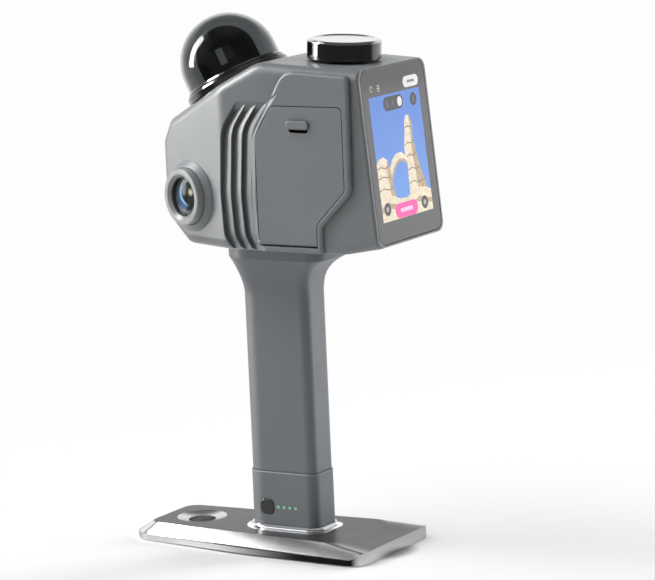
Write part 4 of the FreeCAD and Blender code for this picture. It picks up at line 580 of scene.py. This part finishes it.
def lathe(work, points, matrix, steps=96):
    """Revolves (radius, height) points about the frame's +Z."""
    rings = []
    for radius, height in points:
        turns = [0.0] if radius < TINY else [math.tau * i / steps for i in range(steps)]
        rings.append([work.verts.new(matrix @ Vector((radius * math.cos(a), radius * math.sin(a), height)))
                      for a in turns])
    for low, high in zip(rings, rings[1:]):
        for i in range(steps):
            j = (i + 1) % steps
            corners = [low[i % len(low)], low[j % len(low)], high[j % len(high)], high[i % len(high)]]
            unique = list(dict.fromkeys(corners))
            if len(unique) > 2:
                work.faces.new(unique)


def skin(work, columns):
    """Joins equal closed columns of vertices into a capped tube."""
    for left, right in zip(columns, columns[1:]):
        for i in range(len(left)):
            k = (i + 1) % len(left)
            work.faces.new((left[i], left[k], right[k], right[i]))
    work.faces.new(columns[0])
    work.faces.new(columns[-1])


def lay_map(item, matrix, reach):
    """Flat map of a piece seen along its own axis, -1 to 1 across its reach."""
    layer = item.data.uv_layers.new(name="Face")
    back = matrix.inverted()
    for loop in item.data.loops:
        spot = back @ item.data.vertices[loop.vertex_index].co
        layer.data[loop.index].uv = (spot.x / reach, spot.y / reach)


# ---------------------------------------------------------------- shapes on the screen

SCREEN_TILT = math.radians(5.4)
GLASS_LOW, GLASS_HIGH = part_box("screen_glass")
LAYER_RISE = 0.008
LAYER_LIFT = 0.002
RING_TURN = math.tau * 0.875
RING_HOLE = 0.6
LEDGE_HALF = 0.32


def screen_frame():
    """Frame of the screen: +X to the viewer's right, +Y up the glass, +Z out of it."""
    out = Vector((0, math.cos(SCREEN_TILT), math.sin(SCREEN_TILT)))
    up = Vector((0, -math.sin(SCREEN_TILT), math.cos(SCREEN_TILT)))
    glass = frame["nodes"]["screen_glass"]
    face = max(out.dot(glass.matrix_world @ vertex.co) for vertex in glass.data.vertices)
    middle = (GLASS_LOW + GLASS_HIGH) / 2
    middle.x = 0
    return frame_of(Vector((-1, 0, 0)), up, out, middle + out * (face - out.dot(middle)))


def lay_on_glass(name, outlines, layer, material):
    """Thin lit shapes on the glass; each layer lies a hair over the one below."""
    place = screen_frame()
    low = (LAYER_LIFT + LAYER_RISE * layer) * MM
    high = low + LAYER_RISE * MM

    def fill(work):
        for points in outlines:
            rings = [[work.verts.new(place @ Vector((u * MM, v * MM, h))) for u, v in points]
                     for h in (low, high)]
            skin(work, rings)
    finish_piece(name, fill, material, "scanner", smooth=False)


def pill(u, v, half, half_high, steps=10):
    """Bar with round ends about its middle."""
    radius = min(half, half_high)
    points = []
    for corner, (a, b) in enumerate(((1, 1), (-1, 1), (-1, -1), (1, -1))):
        for i in range(steps + 1):
            t = math.radians(90 * corner + 90 * i / steps)
            points.append((u + a * (half - radius) + radius * math.cos(t),
                           v + b * (half_high - radius) + radius * math.sin(t)))
    return points


def bar(u, v, half, half_high):
    """Plain bar about its middle."""
    return [(u - half, v - half_high), (u + half, v - half_high),
            (u + half, v + half_high), (u - half, v + half_high)]


def open_ring(u, v, radius, steps=30):
    """Ring with an eighth of its turn left out."""
    turns = [RING_TURN * i / steps for i in range(steps + 1)]
    outer = [(u + radius * math.cos(a), v + radius * math.sin(a)) for a in turns]
    inner = [(u + (x - u) * RING_HOLE, v + (y - v) * RING_HOLE) for x, y in reversed(outer)]
    return outer + inner


def band(points, half):
    """Thin band along a line of points."""
    return [(u, v - half) for u, v in points] + [(u, v + half) for u, v in reversed(points)]


# outlines of the picture in millimetres: to the right and up from the middle of the glass
SKY_FRAME = [(-30.3, -38.5), (29.0, -38.5), (29.0, 35.0), (-30.3, 35.0)]
ROCKS = [
    [(4, -30), (5.2, -8), (3.4, 1), (6, 10), (7.2, 17), (9.6, 20.6), (13.2, 20), (15.6, 15), (15, 6),
     (17.4, -4), (20.4, -14), (24, -20), (26, -30)],
    [(-30.3, -30), (-30.3, -4), (-27.4, -1.4), (-22, -0.6), (-17.6, -3), (-15.2, -9), (-14.4, -17),
     (-11, -30)],
    [(-15.4, -8), (-12, -3.4), (-6.6, -0.4), (-0.6, -0.2), (4.4, -3), (5, -8.4), (1.2, -6.2),
     (-3, -5.6), (-7.4, -7.4), (-11.2, -11.4), (-14.2, -17)],
]
ROCK_SHADES = [
    [(12.6, 19.4), (13.2, 20), (15.6, 15), (15, 6), (17.4, -4), (20.4, -14), (24, -20), (26, -30),
     (15, -30), (13.6, -12), (12, 0), (13, 9)],
    [(-17.6, -3), (-15.2, -9), (-14.4, -17), (-11, -30), (-17, -30), (-18.4, -16), (-19.6, -7)],
    [(4.6, -6.4), (5, -8.4), (1.2, -6.2), (-3, -5.6), (-7.4, -7.4), (-11.2, -11.4), (-14.2, -17),
     (-14.8, -13.4), (-11.4, -8.8), (-7.6, -5.4), (-3, -3.8), (1.6, -4.2)],
]
LEDGES = [
    [(4.8, 3), (8, 4.2), (12, 3.4), (15.4, 4.4)],
    [(5, -4), (9, -3), (13, -4.2), (17, -2.6)],
    [(6.6, 13), (10, 13.8), (14.6, 12.8)],
    [(5, -12), (10, -11), (15, -12.4), (20, -11)],
    [(-30.3, -7), (-26, -6.2), (-21, -7.4), (-16.4, -6.4)],
    [(-30.3, -13), (-24, -12), (-19, -13.2), (-14.8, -12)],
    [(-30.3, -20), (-25, -19), (-19, -20.4), (-14, -19.4)],
    [(4.6, -20), (10, -19), (16, -20.4), (23.6, -19.4)],
]
DUNES = [
    [(-30.3, -38.5), (-30.3, -24), (-24, -22.6), (-16, -24.2), (-8, -27), (0, -27.4), (8, -25),
     (16, -23.4), (24, -24.4), (29, -26.4), (29, -38.5)],
]
DUNE_SHADES = [
    [(-30.3, -30), (-22, -27.6), (-12, -30), (-3, -33), (6, -31), (15, -28.6), (22, -30.4), (29, -31.6),
     (29, -34), (20, -33.4), (12, -31.6), (4, -33.6), (-4, -35.8), (-14, -32.8), (-22, -30.8),
     (-30.3, -33)],
]

# touch buttons in millimetres: the middle to the right and up, half the width, half the height
KEY_WHITE = (20, 39.7, 9.0, 3.3)
KEY_WHITE_BAR = (20, 39.7, 4.4, 0.8)
ICON_RING = (-26.2, 39.9, 1.9)
ICON_BARS = ((-18, 41.1, 1.3, 0.5), (-18, 39.6, 1.9, 0.5), (-18, 38.1, 1.3, 0.5))
KEY_MODES = ((-3, 29.3, 11.5, 4.2), (20.8, 28.8, 3.9, 3.9))
KEY_MODE_MARKS = ((-10, 29.3, 1.3, 2.2), (-3.3, 29.3, 1.3, 1.3), (20.8, 28.8, 1.1, 2.0))
KEY_MODE_ON = (4.6, 29.3, 2.6, 2.9)
KEY_PINK = (-1.9, -34, 13.2, 4.4)
KEY_PINK_BAR = (-1.9, -34, 7.2, 1.2)
KEY_ROUNDS = ((-23.8, -31.3, 3.9, 3.9), (20, -33.1, 3.9, 3.9))
KEY_ROUND_MARKS = ((-23.8, -31.3, 1.6, 1.6), (20, -33.1, 1.6, 1.6))


# ---------------------------------------------------------------- finishing the pieces

class SCANNER_OT_shell(bpy.types.Operator):
    """Finish the head moulding, its floor and the covers"""
    bl_idname = "scanner.shell"
    bl_label = "Finish Head Shell"

    def execute(self, context):
        look = context.scene.scanner_shell
        shell = moulded_plastic("Head moulding", look.shell_color, roughness=0.40,
                                grain=look.grain_size, wear=look.wear_width)
        cover = moulded_plastic("Cover moulding", look.cover_color, roughness=0.44,
                                grain=look.grain_size, wear=look.wear_width * 0.6)
        paint(shell, "head_shell", "head_floor")
        paint(cover, "hatch_right", "service_cover", "hatch_catch")
        return {"FINISHED"}


class SCANNER_OT_grip(bpy.types.Operator):
    """Finish the grip and the battery pack"""
    bl_idname = "scanner.grip"
    bl_label = "Finish Grip and Battery"

    def execute(self, context):
        look = context.scene.scanner_shell
        glass = context.scene.scanner_glass
        grip = moulded_plastic("Grip moulding", look.grip_color, roughness=0.46,
                               grain=look.grain_size * 1.3, wear=look.wear_width)
        dark = moulded_plastic("Dark plastic", (0.02, 0.02, 0.022), roughness=0.5, grain=look.grain_size,
                               wear=0.0003)
        key = gloss_lacquer("Button black", glass.black_color, roughness=0.3)
        brass = polished_metal("Brass", (0.62, 0.45, 0.20), roughness=0.28, stretch=(30, 30, 30))
        wrap = gloss_lacquer("Cell wrap", (0.02, 0.10, 0.16), roughness=0.3, dust=0.01)
        green = lit_material("Charge light", (0.22, 0.72, 0.42), strength=0.75, gloss=False)
        paint(grip, "grip_sleeve", "battery_case")
        paint(dark, "battery_cap", "button_switch", "grip_contacts", "bay_tray", "port_block")
        paint(brass, "battery_contacts", "thread_insert")
        paint(wrap, "battery_cells")
        paint(key, "battery_button")
        paint(green, "battery_window")
        return {"FINISHED"}


class SCANNER_OT_stand(bpy.types.Operator):
    """Finish the base plate, its pads, the collar and the screws"""
    bl_idname = "scanner.stand"
    bl_label = "Finish Stand"

    def execute(self, context):
        look = context.scene.scanner_stand
        metal = plate_metal("Plate metal", look)
        collar = polished_metal("Collar chrome", look.chrome_color, roughness=0.08, stretch=(40, 40, 40),
                                cloud=0.04)
        rubber = moulded_plastic("Pad rubber", (0.018, 0.018, 0.018), roughness=0.8, grain=0.0009,
                                 depth=0.00008, wear=0.0004, worn=1.2)
        steel = polished_metal("Screw steel", (0.48, 0.48, 0.49), roughness=0.3, stretch=(80, 80, 80),
                               cloud=0.08)
        paint(metal, "base_plate")
        paint(collar, "foot_collar")
        paint(rubber, "base_feet", "screen_seal")
        paint(steel, "clamp_screw", "neck_screws", "cover_screws", "hatch_pin", "knob_shaft")
        return {"FINISHED"}


# window on the rotor, in degrees about its axis and millimetres
RECEIVER_FROM, RECEIVER_TO = 30.5, 46.5
RECEIVER_RADIUS = 18.64
RECEIVER_WALL = 0.2
RECEIVER_LOW, RECEIVER_HIGH = 13.9, 22.3
RECEIVER_STEPS = 12


class SCANNER_OT_sensor(bpy.types.Operator):
    """Finish the dome, its seat and the spinning head"""
    bl_idname = "scanner.sensor"
    bl_label = "Finish Distance Sensor"

    def execute(self, context):
        look = context.scene.scanner_glass
        dull_black = moulded_plastic("Rotor black", (0.004, 0.004, 0.0045), roughness=0.55, wear=0.0002,
                                     worn=1.1, sheen=0.15)
        mirror = polished_metal("Mirror", (0.93, 0.94, 0.96), roughness=0.25, stretch=(5, 5, 5), cloud=0.02)
        paint(gloss_lacquer("Sensor black", look.black_color, roughness=0.10), "lidar_seat")
        paint(clear_glass("Smoked dome", look.dome_color, ior=1.25, painted_rim=0.9), "lidar_dome")
        paint(dull_black, "lidar_rotor")
        paint(moulded_plastic("Motor can", (0.03, 0.03, 0.032), roughness=0.45), "lidar_motor")
        paint(mirror, "lidar_mirror")
        self.receiver()
        return {"FINISHED"}

    def receiver(self):
        """Dark curved window beside the mirror."""
        joints = frame["record"]["behaviour"]["joints"]
        spin = next(joint for joint in joints if joint["name"] == "sensor_spin")
        turn = axis_frame(spin["pos_m"], spin["axis"], (0, 1, 0))
        outer = RECEIVER_RADIUS * MM
        inner = (RECEIVER_RADIUS - RECEIVER_WALL) * MM
        low, high = RECEIVER_LOW * MM, RECEIVER_HIGH * MM

        def curved(work):
            columns = []
            for i in range(RECEIVER_STEPS + 1):
                a = math.radians(RECEIVER_FROM + (RECEIVER_TO - RECEIVER_FROM) * i / RECEIVER_STEPS)
                x, y = math.cos(a), math.sin(a)
                columns.append([work.verts.new(turn @ Vector((r * x, r * y, h)))
                                for r, h in ((outer, low), (outer, high), (inner, high), (inner, low))])
            skin(work, columns)
        glass = gloss_lacquer("Receiver glass", (0.035, 0.035, 0.038), roughness=0.3)
        finish_piece("rotor_receiver", curved, glass, "rotor")


# inside of a side camera, in millimetres from the base of its lens element
CAMERA_TURN = math.radians(21)
ELEMENT_DEPTH = 1.9
ELEMENT_REACH = 11.2
ELEMENT_PROFILE = [(11.2, 0), (11.2, 0.3), (6.72, 0.55), (0, 0.65)]
BAFFLE_PROFILE = [(11.6, 0.1), (10.6, 0.1), (10.4, -0.4), (9.4, -0.4),
                  (9.2, -1.0), (8.2, -1.0), (8.0, -1.6), (7.0, -1.6)]


def turned(profile, matrix):
    """A filler for finish_piece: a profile in millimetres, turned about the frame's +Z."""
    return lambda work: lathe(work, [(radius * MM, height * MM) for radius, height in profile], matrix)


class SCANNER_OT_cameras(bpy.types.Operator):
    """Finish the side cameras and add their stepped baffles and lens elements"""
    bl_idname = "scanner.cameras"
    bl_label = "Finish Side Cameras"

    def execute(self, context):
        look = context.scene.scanner_glass
        ring = moulded_plastic("Camera ring", (0.27, 0.28, 0.285), roughness=0.32, grain=0.0004,
                               depth=0.00001, wear=0.0005, worn=1.5)
        barrel = moulded_plastic("Lens barrel", look.black_color, roughness=0.6, grain=0.0004,
                                 depth=0.00001, wear=0.0003, worn=1.2)
        front = clear_glass("Lens front", (0.95, 0.97, 1.0), ior=1.12, roughness=0.01)
        eye = lens_with_painted_reflections("Lens element", look)
        for side, turn in (("right", 1), ("left", -1)):
            paint(ring, f"lens_ring_{side}")
            paint(front, f"lens_{side}")
            paint(barrel, f"camera_{side}")
            low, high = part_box(f"lens_{side}")
            normal = Vector((turn * math.cos(CAMERA_TURN), -math.sin(CAMERA_TURN), 0))
            base = axis_frame((low + high) / 2 - normal * ELEMENT_DEPTH * MM, normal)
            finish_piece(f"lens_baffle_{side}", turned(BAFFLE_PROFILE, base), barrel, "scanner")
            disc = finish_piece(f"lens_element_{side}", turned(ELEMENT_PROFILE, base), eye, "scanner")
            lay_map(disc, base, ELEMENT_REACH * MM)
        return {"FINISHED"}


class SCANNER_OT_knob(bpy.types.Operator):
    """Finish the knob, its cap and its bush"""
    bl_idname = "scanner.knob"
    bl_label = "Finish Knob"

    def execute(self, context):
        look = context.scene.scanner_glass
        stand = context.scene.scanner_stand
        chrome = polished_metal("Knob chrome", shade(stand.chrome_color, 0.55), roughness=0.12,
                                stretch=(30, 30, 30), cloud=0.05)
        bush = moulded_plastic("Knob bush", (0.03, 0.03, 0.03), roughness=0.4)
        paint(gloss_lacquer("Knob black", look.black_color, roughness=0.07), "knob_body")
        paint(chrome, "knob_cap")
        paint(bush, "knob_collar", "knob_encoder")
        return {"FINISHED"}


class SCANNER_OT_electronics(bpy.types.Operator):
    """Finish the board, heat sink and memory card"""
    bl_idname = "scanner.electronics"
    bl_label = "Finish Electronics"

    def execute(self, context):
        board = moulded_plastic("Board", (0.01, 0.09, 0.035), roughness=0.35, grain=0.0005)
        paint(board, "mainboard")
        paint(polished_metal("Heat sink", (0.5, 0.5, 0.51), roughness=0.35), "heat_sink")
        paint(gloss_lacquer("Card black", (0.012, 0.012, 0.014), roughness=0.3), "memory_card")
        return {"FINISHED"}


class SCANNER_OT_screen(bpy.types.Operator):
    """Finish the touch screen and lay out its picture and touch buttons"""
    bl_idname = "scanner.screen"
    bl_label = "Finish Screen"

    def execute(self, context):
        look = context.scene.scanner_screen
        paint(gloss_lacquer("Screen glass", look.bezel_color, roughness=0.10), "screen_glass")
        paint(gloss_lacquer("Display back", (0.02, 0.02, 0.022), roughness=0.3), "display_panel")
        self.picture(look)
        self.buttons(look)
        return {"FINISHED"}

    def picture(self, look):
        """Sky with a rock arch, a pillar and dunes."""
        lay_on_glass("picture_sky", [SKY_FRAME], 1, sky_material("Screen sky", look))
        rock = rock_material("Screen rock", look.ground_color, strength=1.0)
        shadow = rock_material("Screen rock shade", look.shade_color, strength=0.9)
        ledge = rock_material("Screen rock ledge", shade(look.shade_color, 0.45), strength=0.8)
        lay_on_glass("picture_rock", ROCKS, 2, rock)
        lay_on_glass("picture_rock_shade", ROCK_SHADES, 3, shadow)
        lay_on_glass("picture_rock_ledges", [band(points, LEDGE_HALF) for points in LEDGES], 4, ledge)
        lay_on_glass("picture_dunes", DUNES, 5, rock)
        lay_on_glass("picture_dune_shade", DUNE_SHADES, 6, shadow)

    def buttons(self, look):
        """Touch buttons on layer 7 and their marks on layer 8."""
        white = lit_material("Screen white", (0.80, 0.81, 0.80), strength=0.85)
        dark = gloss_lacquer("Screen key dark", (0.012, 0.014, 0.018), roughness=0.2)
        pale = lit_material("Screen key pale", (0.42, 0.40, 0.36), strength=0.8)
        pink = lit_material("Screen pink", look.accent_color, strength=0.95)
        light_pink = lit_material("Screen pink bar", (0.95, 0.50, 0.72), strength=0.95)
        grey = rock_material("Screen grey", (0.25, 0.25, 0.25), strength=0.8)
        slate = rock_material("Screen mode marks", (0.10, 0.11, 0.14), strength=0.8)
        lay_on_glass("key_white", [pill(*KEY_WHITE)], 7, white)
        lay_on_glass("key_white_bar", [pill(*KEY_WHITE_BAR)], 8, grey)
        lay_on_glass("icons", [open_ring(*ICON_RING)] + [bar(*size) for size in ICON_BARS], 7, pale)
        lay_on_glass("key_modes", [pill(*size) for size in KEY_MODES], 7, dark)
        lay_on_glass("key_mode_marks", [pill(*size) for size in KEY_MODE_MARKS], 8, slate)
        lay_on_glass("key_mode_on", [pill(*KEY_MODE_ON)], 8, white)
        lay_on_glass("key_pink", [pill(*KEY_PINK)], 7, pink)
        lay_on_glass("key_pink_bar", [pill(*KEY_PINK_BAR)], 8, light_pink)
        lay_on_glass("key_rounds", [pill(*size) for size in KEY_ROUNDS], 7, dark)
        lay_on_glass("key_round_marks", [pill(*size) for size in KEY_ROUND_MARKS], 8, pale)


# ---------------------------------------------------------------- stage

WHITE = (1.0, 1.0, 1.0, 1.0)
STUDIO_WHITE = 0.985
FOOT = (0.0, 0.0, 0.0)
MIDDLE = (0.0, 0.0, 0.2)
FLOOR_REACH = 14.0
# half axes of the oval of painted shade on the floor under the plate
SHADE_OVAL_X, SHADE_OVAL_Y = 0.043, 0.087
BACKDROP_WAY = (-0.854, -0.52, 0.0)

# place, aim and size of each light in metres
MATT_LIGHTS = {
    "key": ((0.46, -1.35, 1.85), MIDDLE, (0.9, 0.9)),
    "back": ((-1.65, 0.95, 0.6), MIDDLE, (0.7, 1.2)),
    "side": ((0.9, -0.55, 1.9), MIDDLE, (1.2, 1.2)),
}
MIRROR_LIGHTS = {
    "strip": ((0.73, -1.76, 0.95), (0.0, 0.0, 0.25), (0.55, 1.9)),
    "top": ((0.30, -0.74, 1.02), FOOT, (0.46, 0.4)),
}

# the camera stands back from its aim along a direction, in metres and degrees
VIEW_AIM = (0.0, 0.031036, 0.158771)
VIEW_DISTANCE = 2.106202
VIEW_AZIMUTH, VIEW_HEIGHT, VIEW_ROLL = 121.307, 9.764, 2.514
VIEW_END = 60.0
SENSOR_WIDTH = 36.0


def any_ray(tree, rays, *kinds):
    """1 for a ray of one of the kinds, 0 for any other."""
    total = 0.0
    for kind in kinds:
        total = math_node(tree, "ADD", rays[kind], total, clamp=True)
    return total


def mix_shaders(tree, factor, first, second, target):
    """First shader at factor 0, second shader at factor 1."""
    mix = tree.nodes.new("ShaderNodeMixShader")
    link(tree, factor, mix.inputs[0])
    link(tree, first.outputs[0], mix.inputs[1])
    link(tree, second.outputs[0], mix.inputs[2])
    link(tree, mix.outputs[0], target.inputs["Surface"])


class SCANNER_OT_stage(bpy.types.Operator):
    """Set up the floor, the lights, the world and the camera"""
    bl_idname = "scanner.stage"
    bl_label = "Set Up Stage"

    def execute(self, context):
        look = context.scene.scanner_stage
        scene = context.scene
        scene.view_settings.view_transform = "Standard"
        self.floor(look)
        for name, place in MATT_LIGHTS.items():
            item = self.light(look, name, *place)
            item.visible_glossy = False
            item.visible_transmission = False
        for name, place in MIRROR_LIGHTS.items():
            item = self.light(look, name, *place)
            item.visible_diffuse = False
        self.world(scene, look)
        self.camera(scene, look)
        return {"FINISHED"}

    def floor(self, look):
        """Wide flat floor."""
        mesh = bpy.data.meshes.new("floor")
        corners = [(x * FLOOR_REACH, y * FLOOR_REACH, 0) for x, y in ((-1, -1), (1, -1), (1, 1), (-1, 1))]
        mesh.from_pydata(corners, [], [(0, 1, 2, 3)])
        mesh.materials.append(self.floor_material(look))
        item = bpy.data.objects.new("floor", mesh)
        bpy.context.scene.collection.objects.link(item)

    def floor_material(self, look):
        """Matt floor with shadows near the foot and painted shade under the plate, that turns into an even
        white further out.
        """
        material, tree, shader = new_material("Pale floor", Roughness=0.75)
        place = object_place(tree)
        rays = tree.nodes.new("ShaderNodeLightPath").outputs
        glow = tree.nodes.new("ShaderNodeEmission")
        glow.inputs["Color"].default_value = WHITE
        mirrored = remap(tree, along(tree, place, BACKDROP_WAY), -0.1, 0.3, look.room, look.backdrop)
        link(tree, choose(tree, rays["Is Glossy Ray"], STUDIO_WHITE, mirrored), glow.inputs["Strength"])
        # painted shade: the floor's colour falls to a tenth inside the oval under the plate
        shade_oval = vector_node(tree, "MULTIPLY", place, (1 / SHADE_OVAL_X, 1 / SHADE_OVAL_Y, 0.0), "Vector")
        outside_shade_oval = remap(tree, distance_from(tree, shade_oval, FOOT), 0.85, 1.0)
        link(tree, mix_color(tree, outside_shade_oval, shade(look.floor_color, 0.1), look.floor_color),
             shader.inputs["Base Color"])
        distance = distance_from(tree, place, FOOT)
        fade = math_node(tree, "MULTIPLY", remap(tree, distance, 0.16, 0.75, to_low=0.5),
                         remap(tree, distance, 0.05, 0.11))
        seen = any_ray(tree, rays, "Is Camera Ray", "Is Glossy Ray", "Is Transmission Ray")
        white = math_node(tree, "MULTIPLY", seen, fade)
        mix_shaders(tree, white, shader, glow, tree.nodes["Material Output"])
        return material

    def light(self, look, name, spot, aim, size):
        """Flat light that faces its aim."""
        data = bpy.data.lights.new(f"{name}_light", "AREA")
        data.shape = "RECTANGLE"
        data.size, data.size_y = size
        data.energy = getattr(look, f"{name}_power")
        item = bpy.data.objects.new(f"{name}_light", data)
        item.location = spot
        item.rotation_euler = (Vector(aim) - Vector(spot)).to_track_quat("-Z", "Y").to_euler()
        bpy.context.scene.collection.objects.link(item)
        return item

    def world(self, scene, look):
        """Even light for matt surfaces, a room with a bright backdrop for glossy ones, white to the eye."""
        world = bpy.data.worlds.new("Studio")
        scene.world = world
        world.use_nodes = True
        tree = world.node_tree
        rays = tree.nodes.new("ShaderNodeLightPath").outputs
        way = tree.nodes.new("ShaderNodeTexCoord").outputs["Generated"]
        height = parts_of(tree, way)["Z"]
        low = remap(tree, height, 0.62, 0.45)
        behind = remap(tree, along(tree, way, BACKDROP_WAY), 0.2, 0.75)
        level = remap(tree, behind, 0.0, 1.0, look.walls, look.backdrop, smooth=False)
        sides = remap(tree, low, 0.0, 1.0, look.room, level, smooth=False)
        overhead = remap(tree, height, 0.88, 0.99, to_high=look.walls)
        mirrored = math_node(tree, "ADD", sides, overhead)
        room = tree.nodes["Background"]
        room.inputs["Color"].default_value = WHITE
        link(tree, choose(tree, rays["Is Glossy Ray"], look.ambient, mirrored), room.inputs["Strength"])
        white = tree.nodes.new("ShaderNodeBackground")
        white.inputs["Color"].default_value = WHITE
        white.inputs["Strength"].default_value = STUDIO_WHITE
        seen = any_ray(tree, rays, "Is Camera Ray", "Is Transmission Ray")
        mix_shaders(tree, seen, room, white, tree.nodes["World Output"])

    def camera(self, scene, look):
        """Camera on the hatch side, towards the screen, that looks slightly down."""
        data = bpy.data.cameras.new("camera")
        data.lens = look.lens
        data.sensor_width = SENSOR_WIDTH
        data.clip_end = VIEW_END
        item = bpy.data.objects.new("camera", data)
        azimuth, height, roll = (math.radians(a) for a in (VIEW_AZIMUTH, VIEW_HEIGHT, VIEW_ROLL))
        back = Vector((math.sin(azimuth) * math.cos(height), -math.cos(azimuth) * math.cos(height),
                       math.sin(height)))
        right = Vector((0, 0, 1)).cross(back).normalized()
        up = back.cross(right)
        across = right * math.cos(roll) - up * math.sin(roll)
        upward = right * math.sin(roll) + up * math.cos(roll)
        item.matrix_world = frame_of(across, upward, back, Vector(VIEW_AIM) + back * VIEW_DISTANCE)
        scene.collection.objects.link(item)
        scene.camera = item


# ---------------------------------------------------------------- add-on

class SCANNER_PT_panel(bpy.types.Panel):
    """Lists the finishing steps of the scanner"""
    bl_idname = "SCANNER_PT_panel"
    bl_label = "Scanner"
    bl_space_type = "VIEW_3D"
    bl_region_type = "UI"
    bl_category = "Scanner"

    def draw(self, context):
        layout = self.layout
        for key in SETTINGS:
            box = layout.box()
            group = getattr(context.scene, key)
            for name in group.bl_rna.properties.keys():
                if name not in {"rna_type", "name"}:
                    box.prop(group, name)
        for operator in OPERATORS:
            layout.operator(operator.bl_idname)


SETTINGS = {
    "scanner_shell": ScannerShellSettings,
    "scanner_stand": ScannerStandSettings,
    "scanner_glass": ScannerGlassSettings,
    "scanner_screen": ScannerScreenSettings,
    "scanner_stage": ScannerStageSettings,
}
OPERATORS = (
    SCANNER_OT_shell, SCANNER_OT_grip, SCANNER_OT_stand, SCANNER_OT_sensor, SCANNER_OT_cameras,
    SCANNER_OT_knob, SCANNER_OT_electronics, SCANNER_OT_screen, SCANNER_OT_stage,
)


def register():
    """Adds the settings, the steps and their panel."""
    for key, group in SETTINGS.items():
        bpy.utils.register_class(group)
        setattr(bpy.types.Scene, key, PointerProperty(type=group))
    for item in OPERATORS + (SCANNER_PT_panel,):
        bpy.utils.register_class(item)


def unregister():
    """Takes them away again."""
    for item in reversed(OPERATORS + (SCANNER_PT_panel,)):
        bpy.utils.unregister_class(item)
    for key, group in reversed(SETTINGS.items()):
        delattr(bpy.types.Scene, key)
        bpy.utils.unregister_class(group)


def main():
    """Runs every step in order."""
    register()
    for operator in OPERATORS:
        family, name = operator.bl_idname.split(".")
        result = getattr(getattr(bpy.ops, family), name)()
        if result != {"FINISHED"}:
            raise RuntimeError(f"{operator.bl_label} did not finish")


if __name__ == "__main__":
    main()
